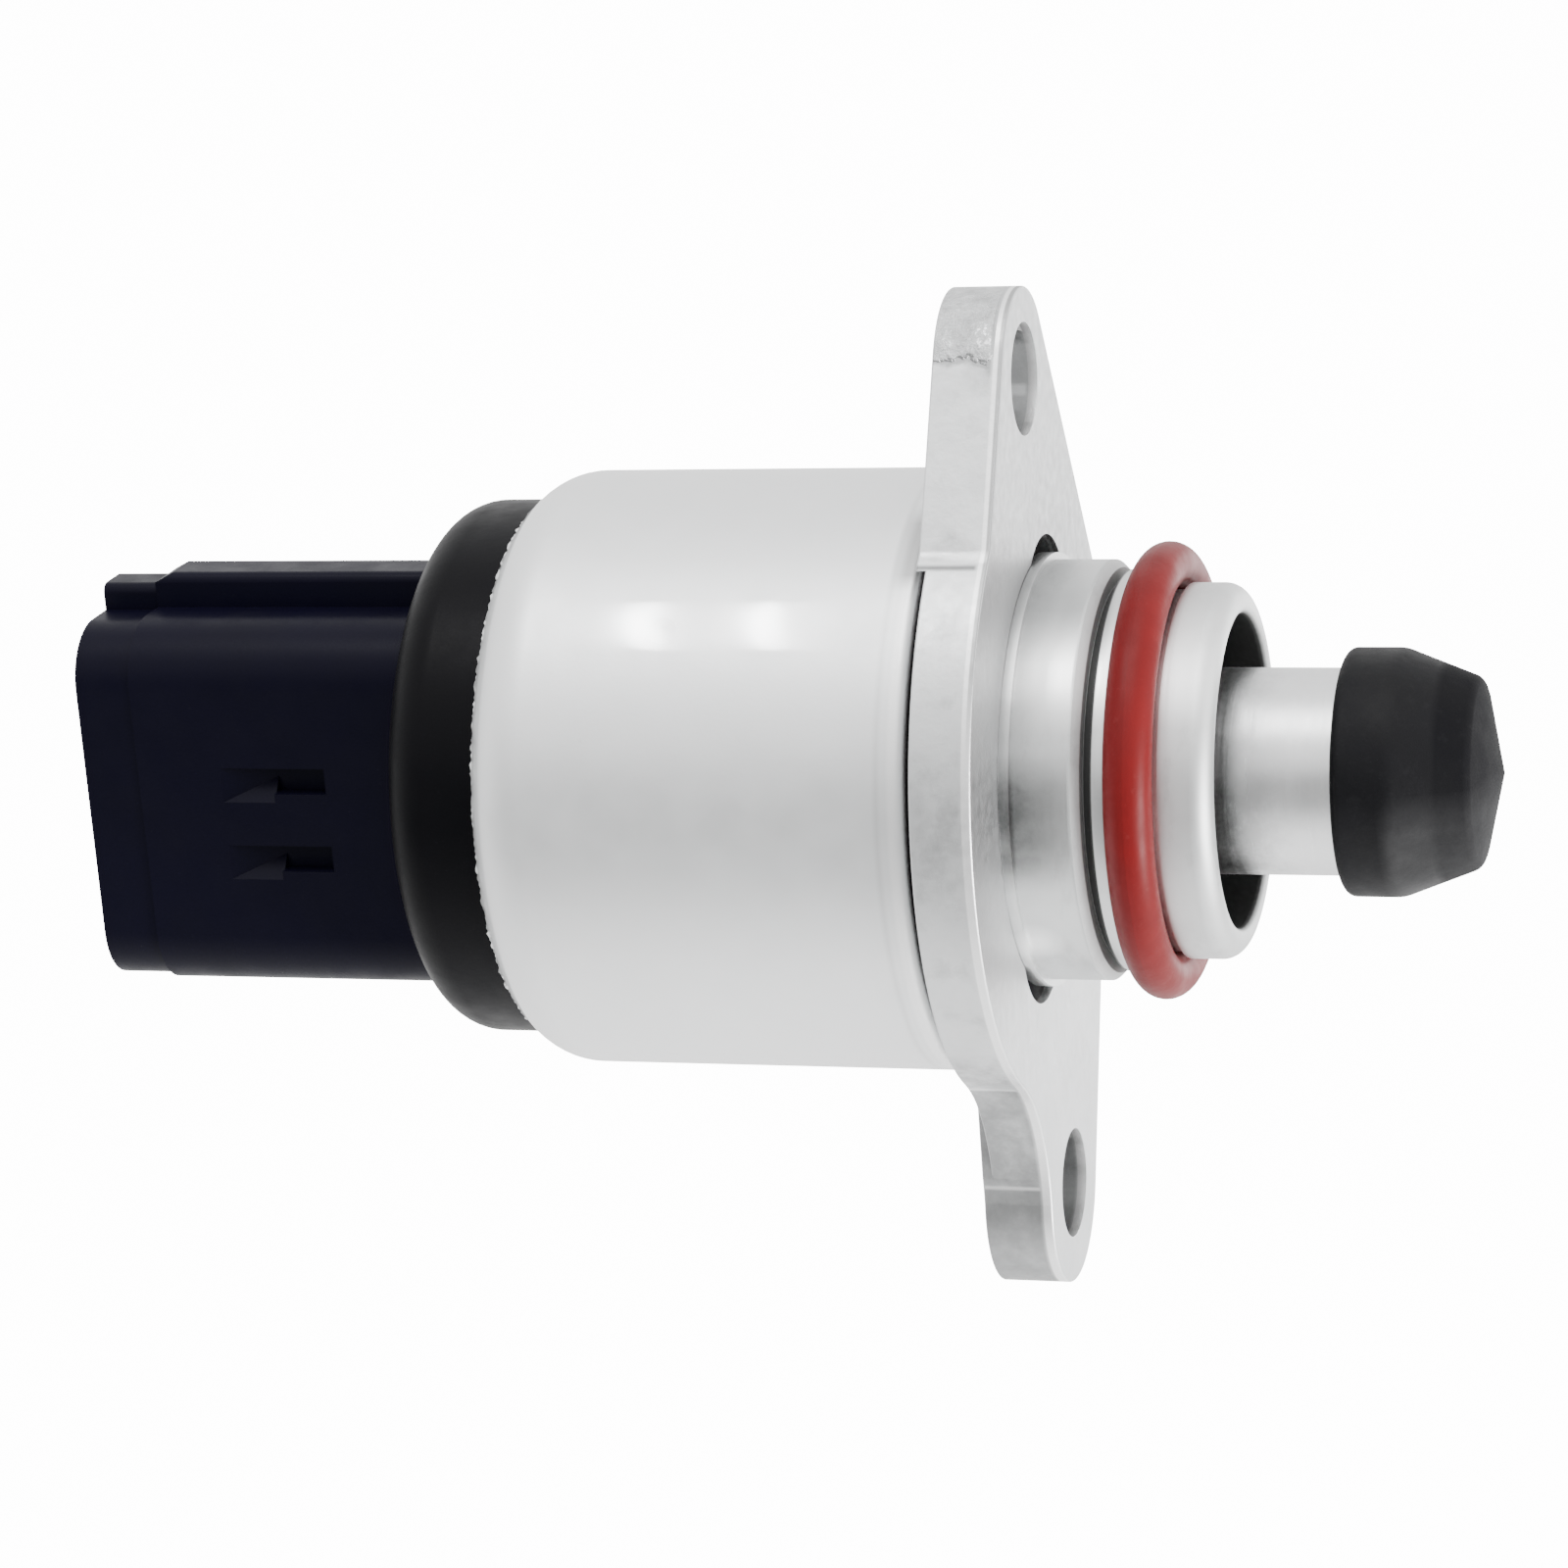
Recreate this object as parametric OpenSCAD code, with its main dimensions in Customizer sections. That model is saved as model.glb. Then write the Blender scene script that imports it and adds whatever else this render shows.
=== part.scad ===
// Idle air control valve: a linear stepper motor in a drawn can, with a moulded
// plug socket behind it, and a screw-driven pintle in the nose in front of it.
// The valve axis is X. X = 0 is the mating face of the flange, and the pintle
// points along +X. Z runs along the line of the two bolt holes.

/* [Flange] */
// Thickness of the flange plate
flange_t = 3.0; // [2.4:0.1:4]
// Radius of the round rim of the flange
flange_r = 16.2; // [15.6:0.1:17.5]
// Distance from the valve axis to the upper bolt hole
top_hole_z = 19.8; // [19.2:0.1:22]
// Distance from the valve axis to the lower bolt hole
bottom_hole_z = 22.0; // [21.6:0.1:24]
// Diameter of the two bolt holes
bolt_d = 5.5; // [4.5:0.1:6]
// Radius of the upper ear round its hole
top_boss_r = 4.5; // [4.2:0.1:5.2]
// Radius of the lower ear round its hole
bottom_boss_r = 5.05; // [4.9:0.05:5.6]
// Radius round the axis that the flanks of the upper ear run tangent to
top_waist_r = 14.5; // [13.5:0.1:15.2]
// Radius round the axis that the far flank of the lower ear runs tangent to
bottom_waist_r = 13.4; // [12.6:0.1:14.4]
// Half width of the neck on the near side of the lower ear
neck_half_w = 5; // [4.2:0.1:5]
// Radius of the hollow where that neck runs into the rim
neck_fillet_r = 9.5; // [5:0.5:10.5]
// Radius of the cutter for the two relief notches beside the collar
notch_r = 4.5; // [3:0.1:5.5]
// How far each relief notch reaches outside the collar
notch_depth = 1.25; // [0.6:0.05:1.8]
// How much thicker the ears are at the back than the rim
ear_extra = 0.5; // [0.2:0.05:0.6]
// Radial space between the can and the thicker backs of the ears
ear_space = 0.4; // [0.2:0.05:0.8]
// Height over the axis where the thicker back of the upper ear starts
ear_high_z = 12.8; // [12:0.1:14]
// Depth under the axis where the thicker back of the lower ear starts
ear_low_z = 14.3; // [13.8:0.1:15]
// Half width of the lower ear's thicker back on its near side
ear_back_w = 5.1; // [5.1:0.05:5.4]
// Angles of the two relief notches, from +Z towards +Y
notch_angles = [12, 206];
// Outside radius of the spigot lip, less the can's inside radius
spigot_clearance = 0.1; // [0.05:0.01:0.2]
// Wall of the spigot
spigot_wall = 1.7; // [1.2:0.1:2]

/* [Can] */
// Outside diameter of the can
can_d = 30; // [29:0.1:31]
// Wall of the can
can_wall = 0.8; // [0.6:0.05:1]
// Outside radius of the rear shoulder of the can
can_shoulder_r = 3.5; // [3:0.1:3.8]
// Rounding of the can's front edge
can_edge_r = 0.55; // [0.3:0.05:0.6]
// Gap between the can's front edge and the flange, filled by the gasket
can_gap = 0.55; // [0.4:0.05:0.8]
// How far the gasket stays inside the can's outside surface
gasket_inset = 0.45; // [0.2:0.05:0.7]
// Radial depth of the gasket's groove under the spigot lip
gasket_groove_depth = 0.9; // [0.6:0.05:1]

/* [Nose] */
// Outside radius of the collar
collar_r = 10.4; // [10.1:0.05:10.8]
// Length of the collar in front of the flange face
collar_len = 3.8; // [3:0.1:5]
// Radius of the low foot where the collar leaves the flange face
collar_foot_r = 10.75; // [10.5:0.05:11]
// Length of that foot
collar_foot_len = 0.5; // [0.3:0.05:0.8]
// Depth of the seat for the collar's foot in the flange face
foot_seat_depth = 0.3; // [0.2:0.05:0.5]
// Bevel on the front edge of the collar
collar_bevel = 0.4; // [0.2:0.05:0.6]
// Width of the relief groove in front of the collar
relief_w = 0.45; // [0.3:0.05:0.8]
// Radius at the bottom of that relief groove
relief_r = 9.3; // [9:0.05:9.6]
// Width of the lip behind the O-ring
lip_w = 0.65; // [0.4:0.05:1]
// Radius of the lip behind the O-ring
lip_r = 9.9; // [9.7:0.05:10]
// Thickness of the O-ring's cord
oring_cord_d = 2.35; // [2:0.05:2.6]
// Radius at the bottom of the O-ring groove
oring_floor_r = 8.9; // [8.7:0.05:9.05]
// Radius of the nose in front of the O-ring
nose_r = 9.25; // [9.15:0.05:9.6]
// Length of the nose in front of the O-ring
nose_len = 2.55; // [2:0.05:4]
// Rounding of the nose's outer rim
nose_edge_r = 1.0; // [0.6:0.05:1.1]
// Rounding of the mouth's inner rim
mouth_edge_r = 0.4; // [0.2:0.05:0.4]
// Radius of the mouth bore
mouth_r = 7.7; // [7.5:0.05:7.8]
// How far the bearing seat reaches in front of the flange face
seat_reach = 2.9; // [2:0.1:3.4]
// Thickness of the collar's end plate inside the can
end_plate_t = 1.65; // [1.2:0.05:2.2]
// How far the end plate reaches behind the front bearing
end_plate_reach = 0.35; // [0.2:0.05:0.6]

/* [Guide bush] */
// Radius of the bush where it stands clear inside the mouth
bush_neck_r = 7.2; // [7:0.05:7.4]
// How far the bush stands in front of the flange face
bush_reach = 6.0; // [5:0.1:6.2]
// Thickness of the stop wall at the front of the bush's keyways
stop_wall = 1.4; // [1:0.1:1.8]
// Free length at each end of the pintle's travel
stop_gap = 0.3; // [0.2:0.05:0.5]

/* [Pintle] */
// Full travel of the pintle, from extended to drawn in
travel = 7.0; // [6:0.1:7.4]
// Radius of the bright stem
stem_r = 5.08; // [4.9:0.02:5.14]
// How far the stem's shoulder stands in front of the flange face
stem_reach = 15.5; // [14.8:0.1:17]
// Length of the two guide lugs at the back of the stem
lug_len = 2.0; // [1.5:0.1:2.5]
// Width of each guide lug
lug_w = 2.0; // [1.6:0.1:2.4]
// Radius that the guide lugs reach
lug_r = 6.2; // [5.9:0.05:6.3]
// Radius of the stem's neck inside the rubber head
neck_r = 3.6; // [3:0.1:3.8]
// Length of that neck
neck_len = 2.6; // [2:0.1:3]
// Radius of the barb that holds the rubber head
barb_r = 4.3; // [4:0.05:4.4]
// Length of the barb
barb_len = 1.4; // [1:0.1:1.6]
// Radius of the rubber head
head_r = 6.09; // [5.9:0.01:6.3]
// How far the head's skirt reaches back over the stem
skirt_len = 0.5; // [0.3:0.05:0.8]
// Rounding of the head's back edge
head_edge_r = 0.5; // [0.3:0.05:0.6]
// Length of the head's straight part
head_straight = 2.8; // [2.4:0.1:4]
// Length of the head's main taper
head_taper = 3.7; // [3.4:0.1:5]
// Radius at the front of the main taper
head_tip_r = 4.65; // [4.5:0.05:5]
// Height of the blunt point
head_point = 1.1; // [0.8:0.1:2]

/* [Lead screw] */
// Outside radius of the lead screw
screw_r = 2.5; // [2.3:0.05:2.6]
// Radius of the plain end that is pressed into the stem
screw_end_r = 2.0; // [1.7:0.05:2.1]
// Length of that plain end
screw_end_len = 10.0; // [8:0.5:11]
// Distance from the back of the stator to the screw's end, pintle extended
screw_setback = 0.7; // [0.4:0.1:1.5]
// Free depth behind the screw when it is drawn in
screw_end_gap = 0.7; // [0.4:0.1:1]
// Radius of the blind hole that the screw draws back into
screw_hole_r = 3.0; // [2.8:0.1:3.4]

/* [Rotor] */
// Radius of the ring magnet
magnet_r = 7.6; // [7.4:0.05:7.7]
// Radius of the nut's body inside the magnet
nut_r = 5.15; // [4.9:0.05:5.3]
// Radius of the nut's end collar behind the magnet
nut_collar_r = 6.4; // [6:0.1:7]
// Thickness of that end collar
nut_collar_t = 0.3; // [0.2:0.05:0.4]
// Radius of the step that bears on the inner race
race_step_r = 4.7; // [4.5:0.05:4.9]
// Distance from each end of the stator to the magnet
magnet_setback = 0.75; // [0.7:0.05:1.2]
// Length of the rear journal
rear_journal_len = 3.1; // [2.6:0.1:3.6]
// Thickness of the thrust washer
thrust_t = 0.35; // [0.25:0.05:0.35]
// Outside radius of the thrust washer
thrust_r = 5.6; // [5.2:0.1:5.9]

/* [Bearings] */
// Outside diameter of the front ball bearing
bearing_od = 16; // [15.8:0.1:16.1]
// Bore of the front ball bearing
bearing_id = 8; // [7.6:0.1:8.2]
// Width of the front ball bearing
bearing_w = 4; // [3.6:0.1:4.4]
// Diameter of the balls as a share of the space between bore and outside
ball_share = 0.3; // [0.26:0.01:0.32]
// Number of balls
ball_count = 8; // [6:1:9]
// Distance between the two races as a share of the same space
race_share = 0.19; // [0.16:0.01:0.21]
// Height of the coned spring washer in front of the bearing
spring_h = 0.6; // [0.5:0.05:0.8]
// Thickness of the coned spring washer
spring_t = 0.3; // [0.2:0.05:0.4]
// Radial width of the coned spring washer
spring_w = 1.25; // [1:0.05:1.4]
// Outside radius of the rear bearing bush
rear_bush_r = 6.0; // [5.6:0.1:6.3]
// Length of the rear bearing bush
rear_bush_len = 2.85; // [2.4:0.05:3.2]

/* [Stator] */
// Length of one stator half
half_len = 5.5; // [5:0.1:6.5]
// Sheet thickness of the stator plates
sheet_t = 0.7; // [0.5:0.05:0.8]
// Gap between the magnet and the claw poles
air_gap = 0.3; // [0.25:0.05:0.4]
// Number of claw poles on each plate
claw_count = 6; // [4:1:6]
// Width of a claw pole at its root
claw_root_w = 2.6; // [2:0.1:2.8]
// Width of a claw pole at its tip
claw_tip_w = 1.4; // [1:0.1:1.8]
// Wall of the bobbin's tube and flanges
bobbin_wall = 0.5; // [0.4:0.05:0.6]
// How far the winding stays inside the bobbin's flanges
coil_inset = 0.4; // [0.2:0.05:0.8]

/* [Plug socket] */
// Radius of the round shoulder behind the can
ring_r = 13.55; // [13.2:0.05:13.7]
// Rounding of that shoulder's rear edge
ring_edge_r = 2.4; // [1:0.1:2.6]
// Thickness of the housing's flange inside the can
house_flange_t = 2.15; // [1.8:0.05:2.8]
// Thickness of the seal ring's cord at the back of the can
rear_seal_d = 1.0; // [0.8:0.05:1]
// Length of the socket behind the round shoulder
shroud_len = 18.5; // [16:0.5:22]
// Width of the socket along Y
shroud_w = 12.6; // [12:0.1:14]
// Height of the socket along Z, without the key rail
shroud_h = 19.3; // [18.8:0.1:21]
// Height of the socket's middle over the valve axis
shroud_z = -0.85; // [-1.2:0.05:0]
// Corner radius of the socket
shroud_corner_r = 3.2; // [2:0.1:4]
// Wall of the socket
shroud_wall = 1.3; // [1.1:0.05:1.5]
// Length of the slimmer mouth of the socket
mouth_step_len = 3; // [1:0.1:4]
// How much slimmer the mouth is on each side
mouth_step = 0.2; // [0.1:0.05:0.4]
// Depth of the socket cavity
cavity_depth = 10.8; // [9:0.1:12]
// Corner radius of the cavity
cavity_corner_r = 1.9; // [1:0.1:2.5]
// Height of the key rail along the top of the socket
rail_h = 1.75; // [1:0.05:1.9]
// Width of the key rail
rail_w = 3.0; // [2:0.1:4.6]
// Rounding of the key rail's edges
rail_edge_r = 0.5; // [0.2:0.05:0.8]
// How much lower the key rail is at the mouth
rail_step = 0.6; // [0.5:0.05:0.7]
// Length of the ramp between the key rail's two heights
rail_ramp_len = 0.9; // [0.5:0.1:1.2]
// Height of that ramp
rail_ramp_h = 0.45; // [0.3:0.05:0.45]
// Length of the two ramped latch pockets
latch_len = 5.6; // [4:0.1:7]
// Height of each latch pocket
latch_h = 1.8; // [1.2:0.1:2.2]
// Depth of each latch pocket at its deep end
latch_depth = 0.9; // [0.5:0.05:1]
// Distance between the two latch pockets
latch_pitch = 4.1; // [3.5:0.1:5]
// Height of the upper latch pocket's middle over the valve axis
latch_z = 0.75; // [0:0.05:1.5]
// Distance from the round shoulder to the deep end of the latch pockets
latch_setback = 5.4; // [4:0.1:6]

/* [Terminals] */
// Distance between terminals
pin_pitch = 3.4; // [3:0.1:3.6]
// Thickness of the terminal strip
pin_t = 0.8; // [0.6:0.05:0.9]
// Width of the terminal strip
pin_w = 1.5; // [1.2:0.1:1.6]
// Distance from the socket's mouth to the terminal tips
pin_setback = 4.4; // [4.1:0.1:6]
// Distance from the axis to the tails of the inner terminals
inner_tail_z = 7.6; // [7.2:0.1:8]
// Distance from the axis to the tails of the outer terminals
outer_tail_z = 10.4; // [10:0.1:10.8]
// Distance that the tails stay behind the housing's front face
tail_setback = 0.25; // [0.1:0.05:0.6]
// Plastic left between two terminals where they cross
pin_web = 0.2; // [0.15:0.05:0.4]

/* [Fits] */
// Radial gap of pieces that are pressed or glued together
press_gap = 0.03; // [0.02:0.01:0.05]
// Axial gap of pieces that are stacked face to face
seat_gap = 0.05; // [0.03:0.01:0.1]
// Radial gap of pieces that run or slide in each other
run_gap = 0.05; // [0.03:0.01:0.08]

/* [Hidden] */
$fn = 96;

// Small overshoot of a cutter past the face that it cuts
over = 0.5;

// How far the flanks of the upper ear lean from upright
top_lean = asin((top_waist_r - top_boss_r) / top_hole_z);

// Radii worked out from the can
can_r = can_d / 2;
can_bore_r = can_r - can_wall;
spigot_r = can_bore_r - spigot_clearance;
gasket_floor_r = spigot_r - gasket_groove_depth;
opening_r = ring_r + press_gap;
house_flange_r = can_bore_r - 2 * spigot_clearance;

// Stations in front of the flange face
x_relief = collar_len + relief_w;
x_oring = x_relief + lip_w;
oring_groove_w = oring_cord_d + 2 * seat_gap;
x_nose = x_oring + oring_groove_w;
x_mouth = x_nose + nose_len;

// Stations of the pintle in its extended place
x_stop = bush_reach - stop_wall;
x_stem_back = x_stop - stop_gap - lug_len;
x_head_back = stem_reach - skirt_len;
x_head_taper = x_head_back + head_straight;
x_head_tip = x_head_taper + head_taper;
x_head_point = x_head_tip + head_point;

// Stations of the front bearing, from the bush backwards
x_bush_back = x_stem_back - travel - stop_gap + 0.1;
x_spring_front = x_bush_back - seat_gap;
x_bearing_front = x_spring_front - spring_h - seat_gap;
x_bearing_back = x_bearing_front - bearing_w;

// Stations of the stack inside the can
x_plate_back = -flange_t;
x_ear_back = x_plate_back - ear_extra;
x_can_front = x_plate_back - can_gap;
x_end_back = x_bearing_back - end_plate_reach;
x_end_front = x_end_back + end_plate_t;
x_spigot_back = x_end_front + seat_gap;
x_stator_front = x_end_back - seat_gap;
x_stator_mid = x_stator_front - half_len;
x_stator_back = x_stator_mid - half_len;
x_house_front = x_stator_back - seat_gap;
x_house_flange = x_house_front - house_flange_t;
rear_groove_w = rear_seal_d + seat_gap;
x_rear_groove = x_house_flange - rear_groove_w;
x_rear_seal = x_house_flange - rear_groove_w / 2;

// The rear shoulder of the can, inside and outside
shoulder_lead = 0.5;
x_shoulder = x_house_flange + shoulder_lead;
shoulder_r = can_r - can_shoulder_r;
shoulder_in_r = can_shoulder_r - can_wall;
x_can_back = x_shoulder - can_shoulder_r;

// The rear seal lies against the inside of the shoulder
seal_reach = shoulder_in_r - rear_seal_d / 2 - 2 * seat_gap;
seal_r = shoulder_r + sqrt(pow(seal_reach, 2) - pow(x_shoulder - x_rear_seal, 2));
seal_floor_r = seal_r - rear_seal_d / 2 - seat_gap;

// The rotor
bearing_r = bearing_od / 2;
bearing_bore_r = bearing_id / 2;
seat_r = bearing_r + press_gap;
journal_r = bearing_bore_r - press_gap;
ball_pitch_r = (bearing_r + bearing_bore_r) / 2;
spring_bore_r = bearing_r - press_gap - spring_w;
ball_d = ball_share * (bearing_od - bearing_id);
race_gap = race_share * (bearing_od - bearing_id);
x_magnet_front = x_stator_front - magnet_setback;
x_magnet_back = x_stator_back + magnet_setback;
x_nut_front = x_magnet_front + magnet_setback / 3;
x_nut_back = x_magnet_back - seat_gap - nut_collar_t;
x_thrust_back = x_house_front + seat_gap;
x_journal_back = x_nut_back - rear_journal_len;
x_rear_bush_front = x_house_front - seat_gap;
x_rear_bush_back = x_rear_bush_front - rear_bush_len;
x_pocket_back = x_rear_bush_back - seat_gap;
nut_bore_r = screw_r + run_gap;

// The lead screw and its blind hole
x_screw_back = x_stator_back + screw_setback;
x_hole_back = x_screw_back - travel - screw_end_gap;

// The stator
claw_r = magnet_r + air_gap;
bobbin_bore_r = claw_r + sheet_t + 3 * seat_gap;
cup_r = spigot_r;
cup_bore_r = cup_r - sheet_t;
bobbin_flange_r = cup_bore_r - 2 * seat_gap;
coil_bore_r = bobbin_bore_r + bobbin_wall + press_gap;
coil_r = bobbin_flange_r - coil_inset;
claw_len = half_len - 2 * sheet_t - 4 * seat_gap;

// The terminals cross each other behind the blind hole
x_inner_bend = x_hole_back - 2 * pin_web - pin_t;
x_outer_bend = x_inner_bend - pin_web - pin_t;
x_tail = x_house_front - tail_setback;

// The plug socket
x_ring_back = x_outer_bend - 1.5 * pin_web;
x_shroud = x_ring_back - shroud_len;
x_floor = x_shroud + cavity_depth;
x_pin_tip = x_shroud + pin_setback;
x_latch = x_ring_back - latch_setback;

// Turns a profile of [radius, station] points round the valve axis
module turned() {
    rotate([0, 90, 0])
        rotate_extrude()
            children();
}

// Draws a ring profile between two radii and two stations
module ring_2d(r_in, r_out, x_back, x_front) {
    translate([r_in, x_back])
        square([r_out - r_in, x_front - x_back]);
}

// Extrudes a [y, z] outline along the valve axis
module along_x(x_back, x_front) {
    translate([x_back, 0, 0])
        rotate([90, 0, 90])
            linear_extrude(x_front - x_back)
                children();
}

// Extrudes an [x, z] outline across the valve axis, evenly to both sides
module across_y(width) {
    translate([0, width / 2, 0])
        rotate([90, 0, 0])
            linear_extrude(width)
                children();
}

// A rectangle with round corners, centred
module round_rect(w, h, r) {
    square([w - 2 * r, h], center = true);
    square([w, h - 2 * r], center = true);
    for (sy = [-1, 1], sz = [-1, 1])
        translate([sy * (w / 2 - r), sz * (h / 2 - r)])
            circle(r);
}

// A corner rounding for a turned profile: the part of a square outside a quarter circle
module corner_cut(r, x, radius, x_dir) {
    translate([r - radius, x - x_dir * radius])
        difference() {
            translate([0, x_dir > 0 ? 0 : -radius - over])
                square([radius + over, radius + over]);
            circle(radius);
        }
}

// The ear of the upper bolt hole: flanks tangent to the waist circle and the boss
module top_ear_2d() {
    side = [cos(top_lean), sin(top_lean)];
    translate([0, top_hole_z])
        circle(top_boss_r);
    polygon([
        top_waist_r * side,
        [0, top_hole_z] + top_boss_r * side,
        [0, top_hole_z] + top_boss_r * [-side[0], side[1]],
        top_waist_r * [-side[0], side[1]]
    ]);
}

// The rim, cut back to the upper flank's line on the far side
module rim_2d() {
    difference() {
        circle(flange_r);
        rotate(top_lean)
            translate([top_waist_r, -flange_r])
                square([flange_r, 2 * flange_r]);
    }
}

// The ear of the lower bolt hole: a straight far flank, and a hollowed near neck
module bottom_ear_2d() {
    lean = asin((bottom_waist_r - bottom_boss_r) / bottom_hole_z);
    far_side = [cos(lean), -sin(lean)];
    hollow_y = neck_half_w + neck_fillet_r;
    hollow_z = sqrt(pow(flange_r + neck_fillet_r, 2) - pow(hollow_y, 2));
    hollow_share = flange_r / (flange_r + neck_fillet_r);
    translate([0, -bottom_hole_z])
        circle(bottom_boss_r);
    polygon([
        bottom_waist_r * far_side,
        [0, -bottom_hole_z] + bottom_boss_r * far_side,
        [0, -bottom_hole_z],
        [0, 0]
    ]);
    difference() {
        polygon([
            [0, -bottom_hole_z],
            [-neck_half_w, -bottom_hole_z],
            [-neck_half_w, -hollow_z],
            [-hollow_y * hollow_share, -hollow_z * hollow_share],
            [0, 0]
        ]);
        translate([-hollow_y, -hollow_z])
            circle(neck_fillet_r);
    }
}

// The plate, thinned at the back down to the rim's thickness between the two ears
module flange_blank() {
    difference() {
        along_x(x_ear_back, 0) {
            rim_2d();
            top_ear_2d();
            bottom_ear_2d();
        }
        along_x(x_ear_back - over, x_plate_back) {
            circle(can_r + ear_space);
            translate([-flange_r - over, -ear_low_z])
                square([2 * (flange_r + over), ear_low_z + ear_high_z]);
            translate([-flange_r - over, -bottom_hole_z])
                square([flange_r + over - ear_back_w, bottom_hole_z]);
        }
    }
}

module flange_plate() {
    color("silver")
    difference() {
        union() {
            flange_blank();
            turned() {
                ring_2d(gasket_floor_r - spigot_wall, gasket_floor_r, x_spigot_back, x_plate_back + over);
                ring_2d(spigot_r - spigot_wall, spigot_r, x_spigot_back, x_can_front);
            }
        }
        along_x(x_spigot_back, over)
            circle(collar_r + press_gap);
        along_x(-foot_seat_depth, over)
            circle(collar_foot_r + press_gap);
        for (hole_z = [top_hole_z, -bottom_hole_z])
            along_x(x_ear_back - over, over)
                translate([0, hole_z])
                    circle(bolt_d / 2);
        for (a = notch_angles)
            along_x(x_plate_back - over, over)
                rotate(-a)
                    translate([0, collar_r + notch_depth - notch_r])
                        circle(notch_r);
    }
}

module can_shell() {
    color("gainsboro")
    turned()
    difference() {
        union() {
            ring_2d(0, can_r, x_shoulder, x_can_front);
            ring_2d(0, shoulder_r, x_can_back, x_shoulder);
            translate([shoulder_r, x_shoulder])
                circle(can_shoulder_r);
        }
        ring_2d(0, can_bore_r, x_shoulder, x_can_front + over);
        translate([shoulder_r, x_shoulder])
            circle(shoulder_in_r);
        ring_2d(0, opening_r, x_can_back - over, x_can_front + over);
        corner_cut(can_r, x_can_front, can_edge_r, 1);
    }
}

module can_gasket() {
    color("black")
    turned()
        ring_2d(gasket_floor_r + press_gap, can_r - gasket_inset,
            x_can_front + press_gap, x_plate_back - press_gap);
}

module nose_collar() {
    color("silver")
    turned()
    difference() {
        union() {
            ring_2d(0, spigot_r, x_end_back, x_end_front);
            polygon([
                [0, x_end_back],
                [collar_r, x_end_back],
                [collar_r, collar_len - collar_bevel],
                [collar_r - collar_bevel, collar_len],
                [0, collar_len]
            ]);
            ring_2d(0, collar_foot_r, press_gap - foot_seat_depth, collar_foot_len);
            ring_2d(0, relief_r, 0, x_oring);
            ring_2d(0, lip_r, x_relief, x_oring);
            ring_2d(0, oring_floor_r, 0, x_nose);
            ring_2d(0, nose_r, x_nose, x_mouth);
        }
        ring_2d(0, seat_r, x_end_back - over, seat_reach);
        ring_2d(0, mouth_r, 0, x_mouth + over);
        corner_cut(nose_r, x_mouth, nose_edge_r, 1);
        difference() {
            ring_2d(0, mouth_r + mouth_edge_r, x_mouth - mouth_edge_r, x_mouth + over);
            translate([mouth_r + mouth_edge_r, x_mouth - mouth_edge_r])
                circle(mouth_edge_r);
        }
    }
}

module o_ring() {
    color("firebrick")
    turned()
        translate([oring_floor_r + press_gap + oring_cord_d / 2, x_oring + oring_groove_w / 2])
            circle(oring_cord_d / 2);
}

module guide_bush() {
    color("dimgray")
    difference() {
        turned() {
            ring_2d(stem_r + run_gap, seat_r - press_gap, x_bush_back, seat_reach - seat_gap);
            ring_2d(stem_r + run_gap, bush_neck_r, x_bush_back, bush_reach);
        }
        across_keyways(lug_w + 2 * run_gap, lug_r + 2 * run_gap, x_bush_back - over, x_stop);
    }
}

// The two keyways, or the two lugs that slide in them, one above and one below
module across_keyways(w, r, x_back, x_front) {
    translate([x_back, -w / 2, -r])
        cube([x_front - x_back, w, 2 * r]);
}

module front_spring_washer() {
    color("lightsteelblue")
    turned()
        polygon([
            [spring_bore_r, x_spring_front - spring_t],
            [spring_bore_r, x_spring_front],
            [bearing_r - press_gap, x_spring_front - spring_h + spring_t],
            [bearing_r - press_gap, x_spring_front - spring_h]
        ]);
}

// One bearing race with its ball track
module race_2d(r_in, r_out) {
    difference() {
        ring_2d(r_in, r_out, x_bearing_back, x_bearing_front);
        translate([ball_pitch_r, (x_bearing_back + x_bearing_front) / 2])
            circle(ball_d / 2 + press_gap);
    }
}

module front_bearing_outer_race() {
    color("lightgray")
    turned()
        race_2d(ball_pitch_r + race_gap / 2, bearing_r);
}

module front_bearing_inner_race() {
    color("lightgray")
    turned()
        race_2d(bearing_bore_r, ball_pitch_r - race_gap / 2);
}

// Places children at each ball of the front bearing
module at_balls() {
    for (i = [0 : ball_count - 1])
        rotate([i * 360 / ball_count, 0, 0])
            translate([(x_bearing_back + x_bearing_front) / 2, 0, ball_pitch_r])
                children();
}

module front_bearing_balls() {
    color("whitesmoke")
    at_balls()
        sphere(d = ball_d, $fn = 48);
}

module front_bearing_cage() {
    color("goldenrod")
    difference() {
        turned()
            ring_2d(ball_pitch_r - race_gap / 5, ball_pitch_r + race_gap / 5,
                x_bearing_back + seat_gap * 6, x_bearing_front - seat_gap * 6);
        at_balls()
            sphere(d = ball_d + 2 * press_gap, $fn = 48);
    }
}

module rotor_nut() {
    color("ivory")
    turned()
    difference() {
        union() {
            ring_2d(0, journal_r, x_journal_back, x_bearing_front);
            ring_2d(0, race_step_r, x_nut_back, x_bearing_back - seat_gap);
            ring_2d(0, nut_r, x_nut_back, x_nut_front);
            ring_2d(0, nut_collar_r, x_nut_back, x_nut_back + nut_collar_t);
        }
        ring_2d(0, nut_bore_r, x_journal_back - over, x_bearing_front + over);
    }
}

module rotor_magnet() {
    color("darkslategray")
    turned()
        ring_2d(nut_r + press_gap, magnet_r, x_magnet_back, x_magnet_front);
}

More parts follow.
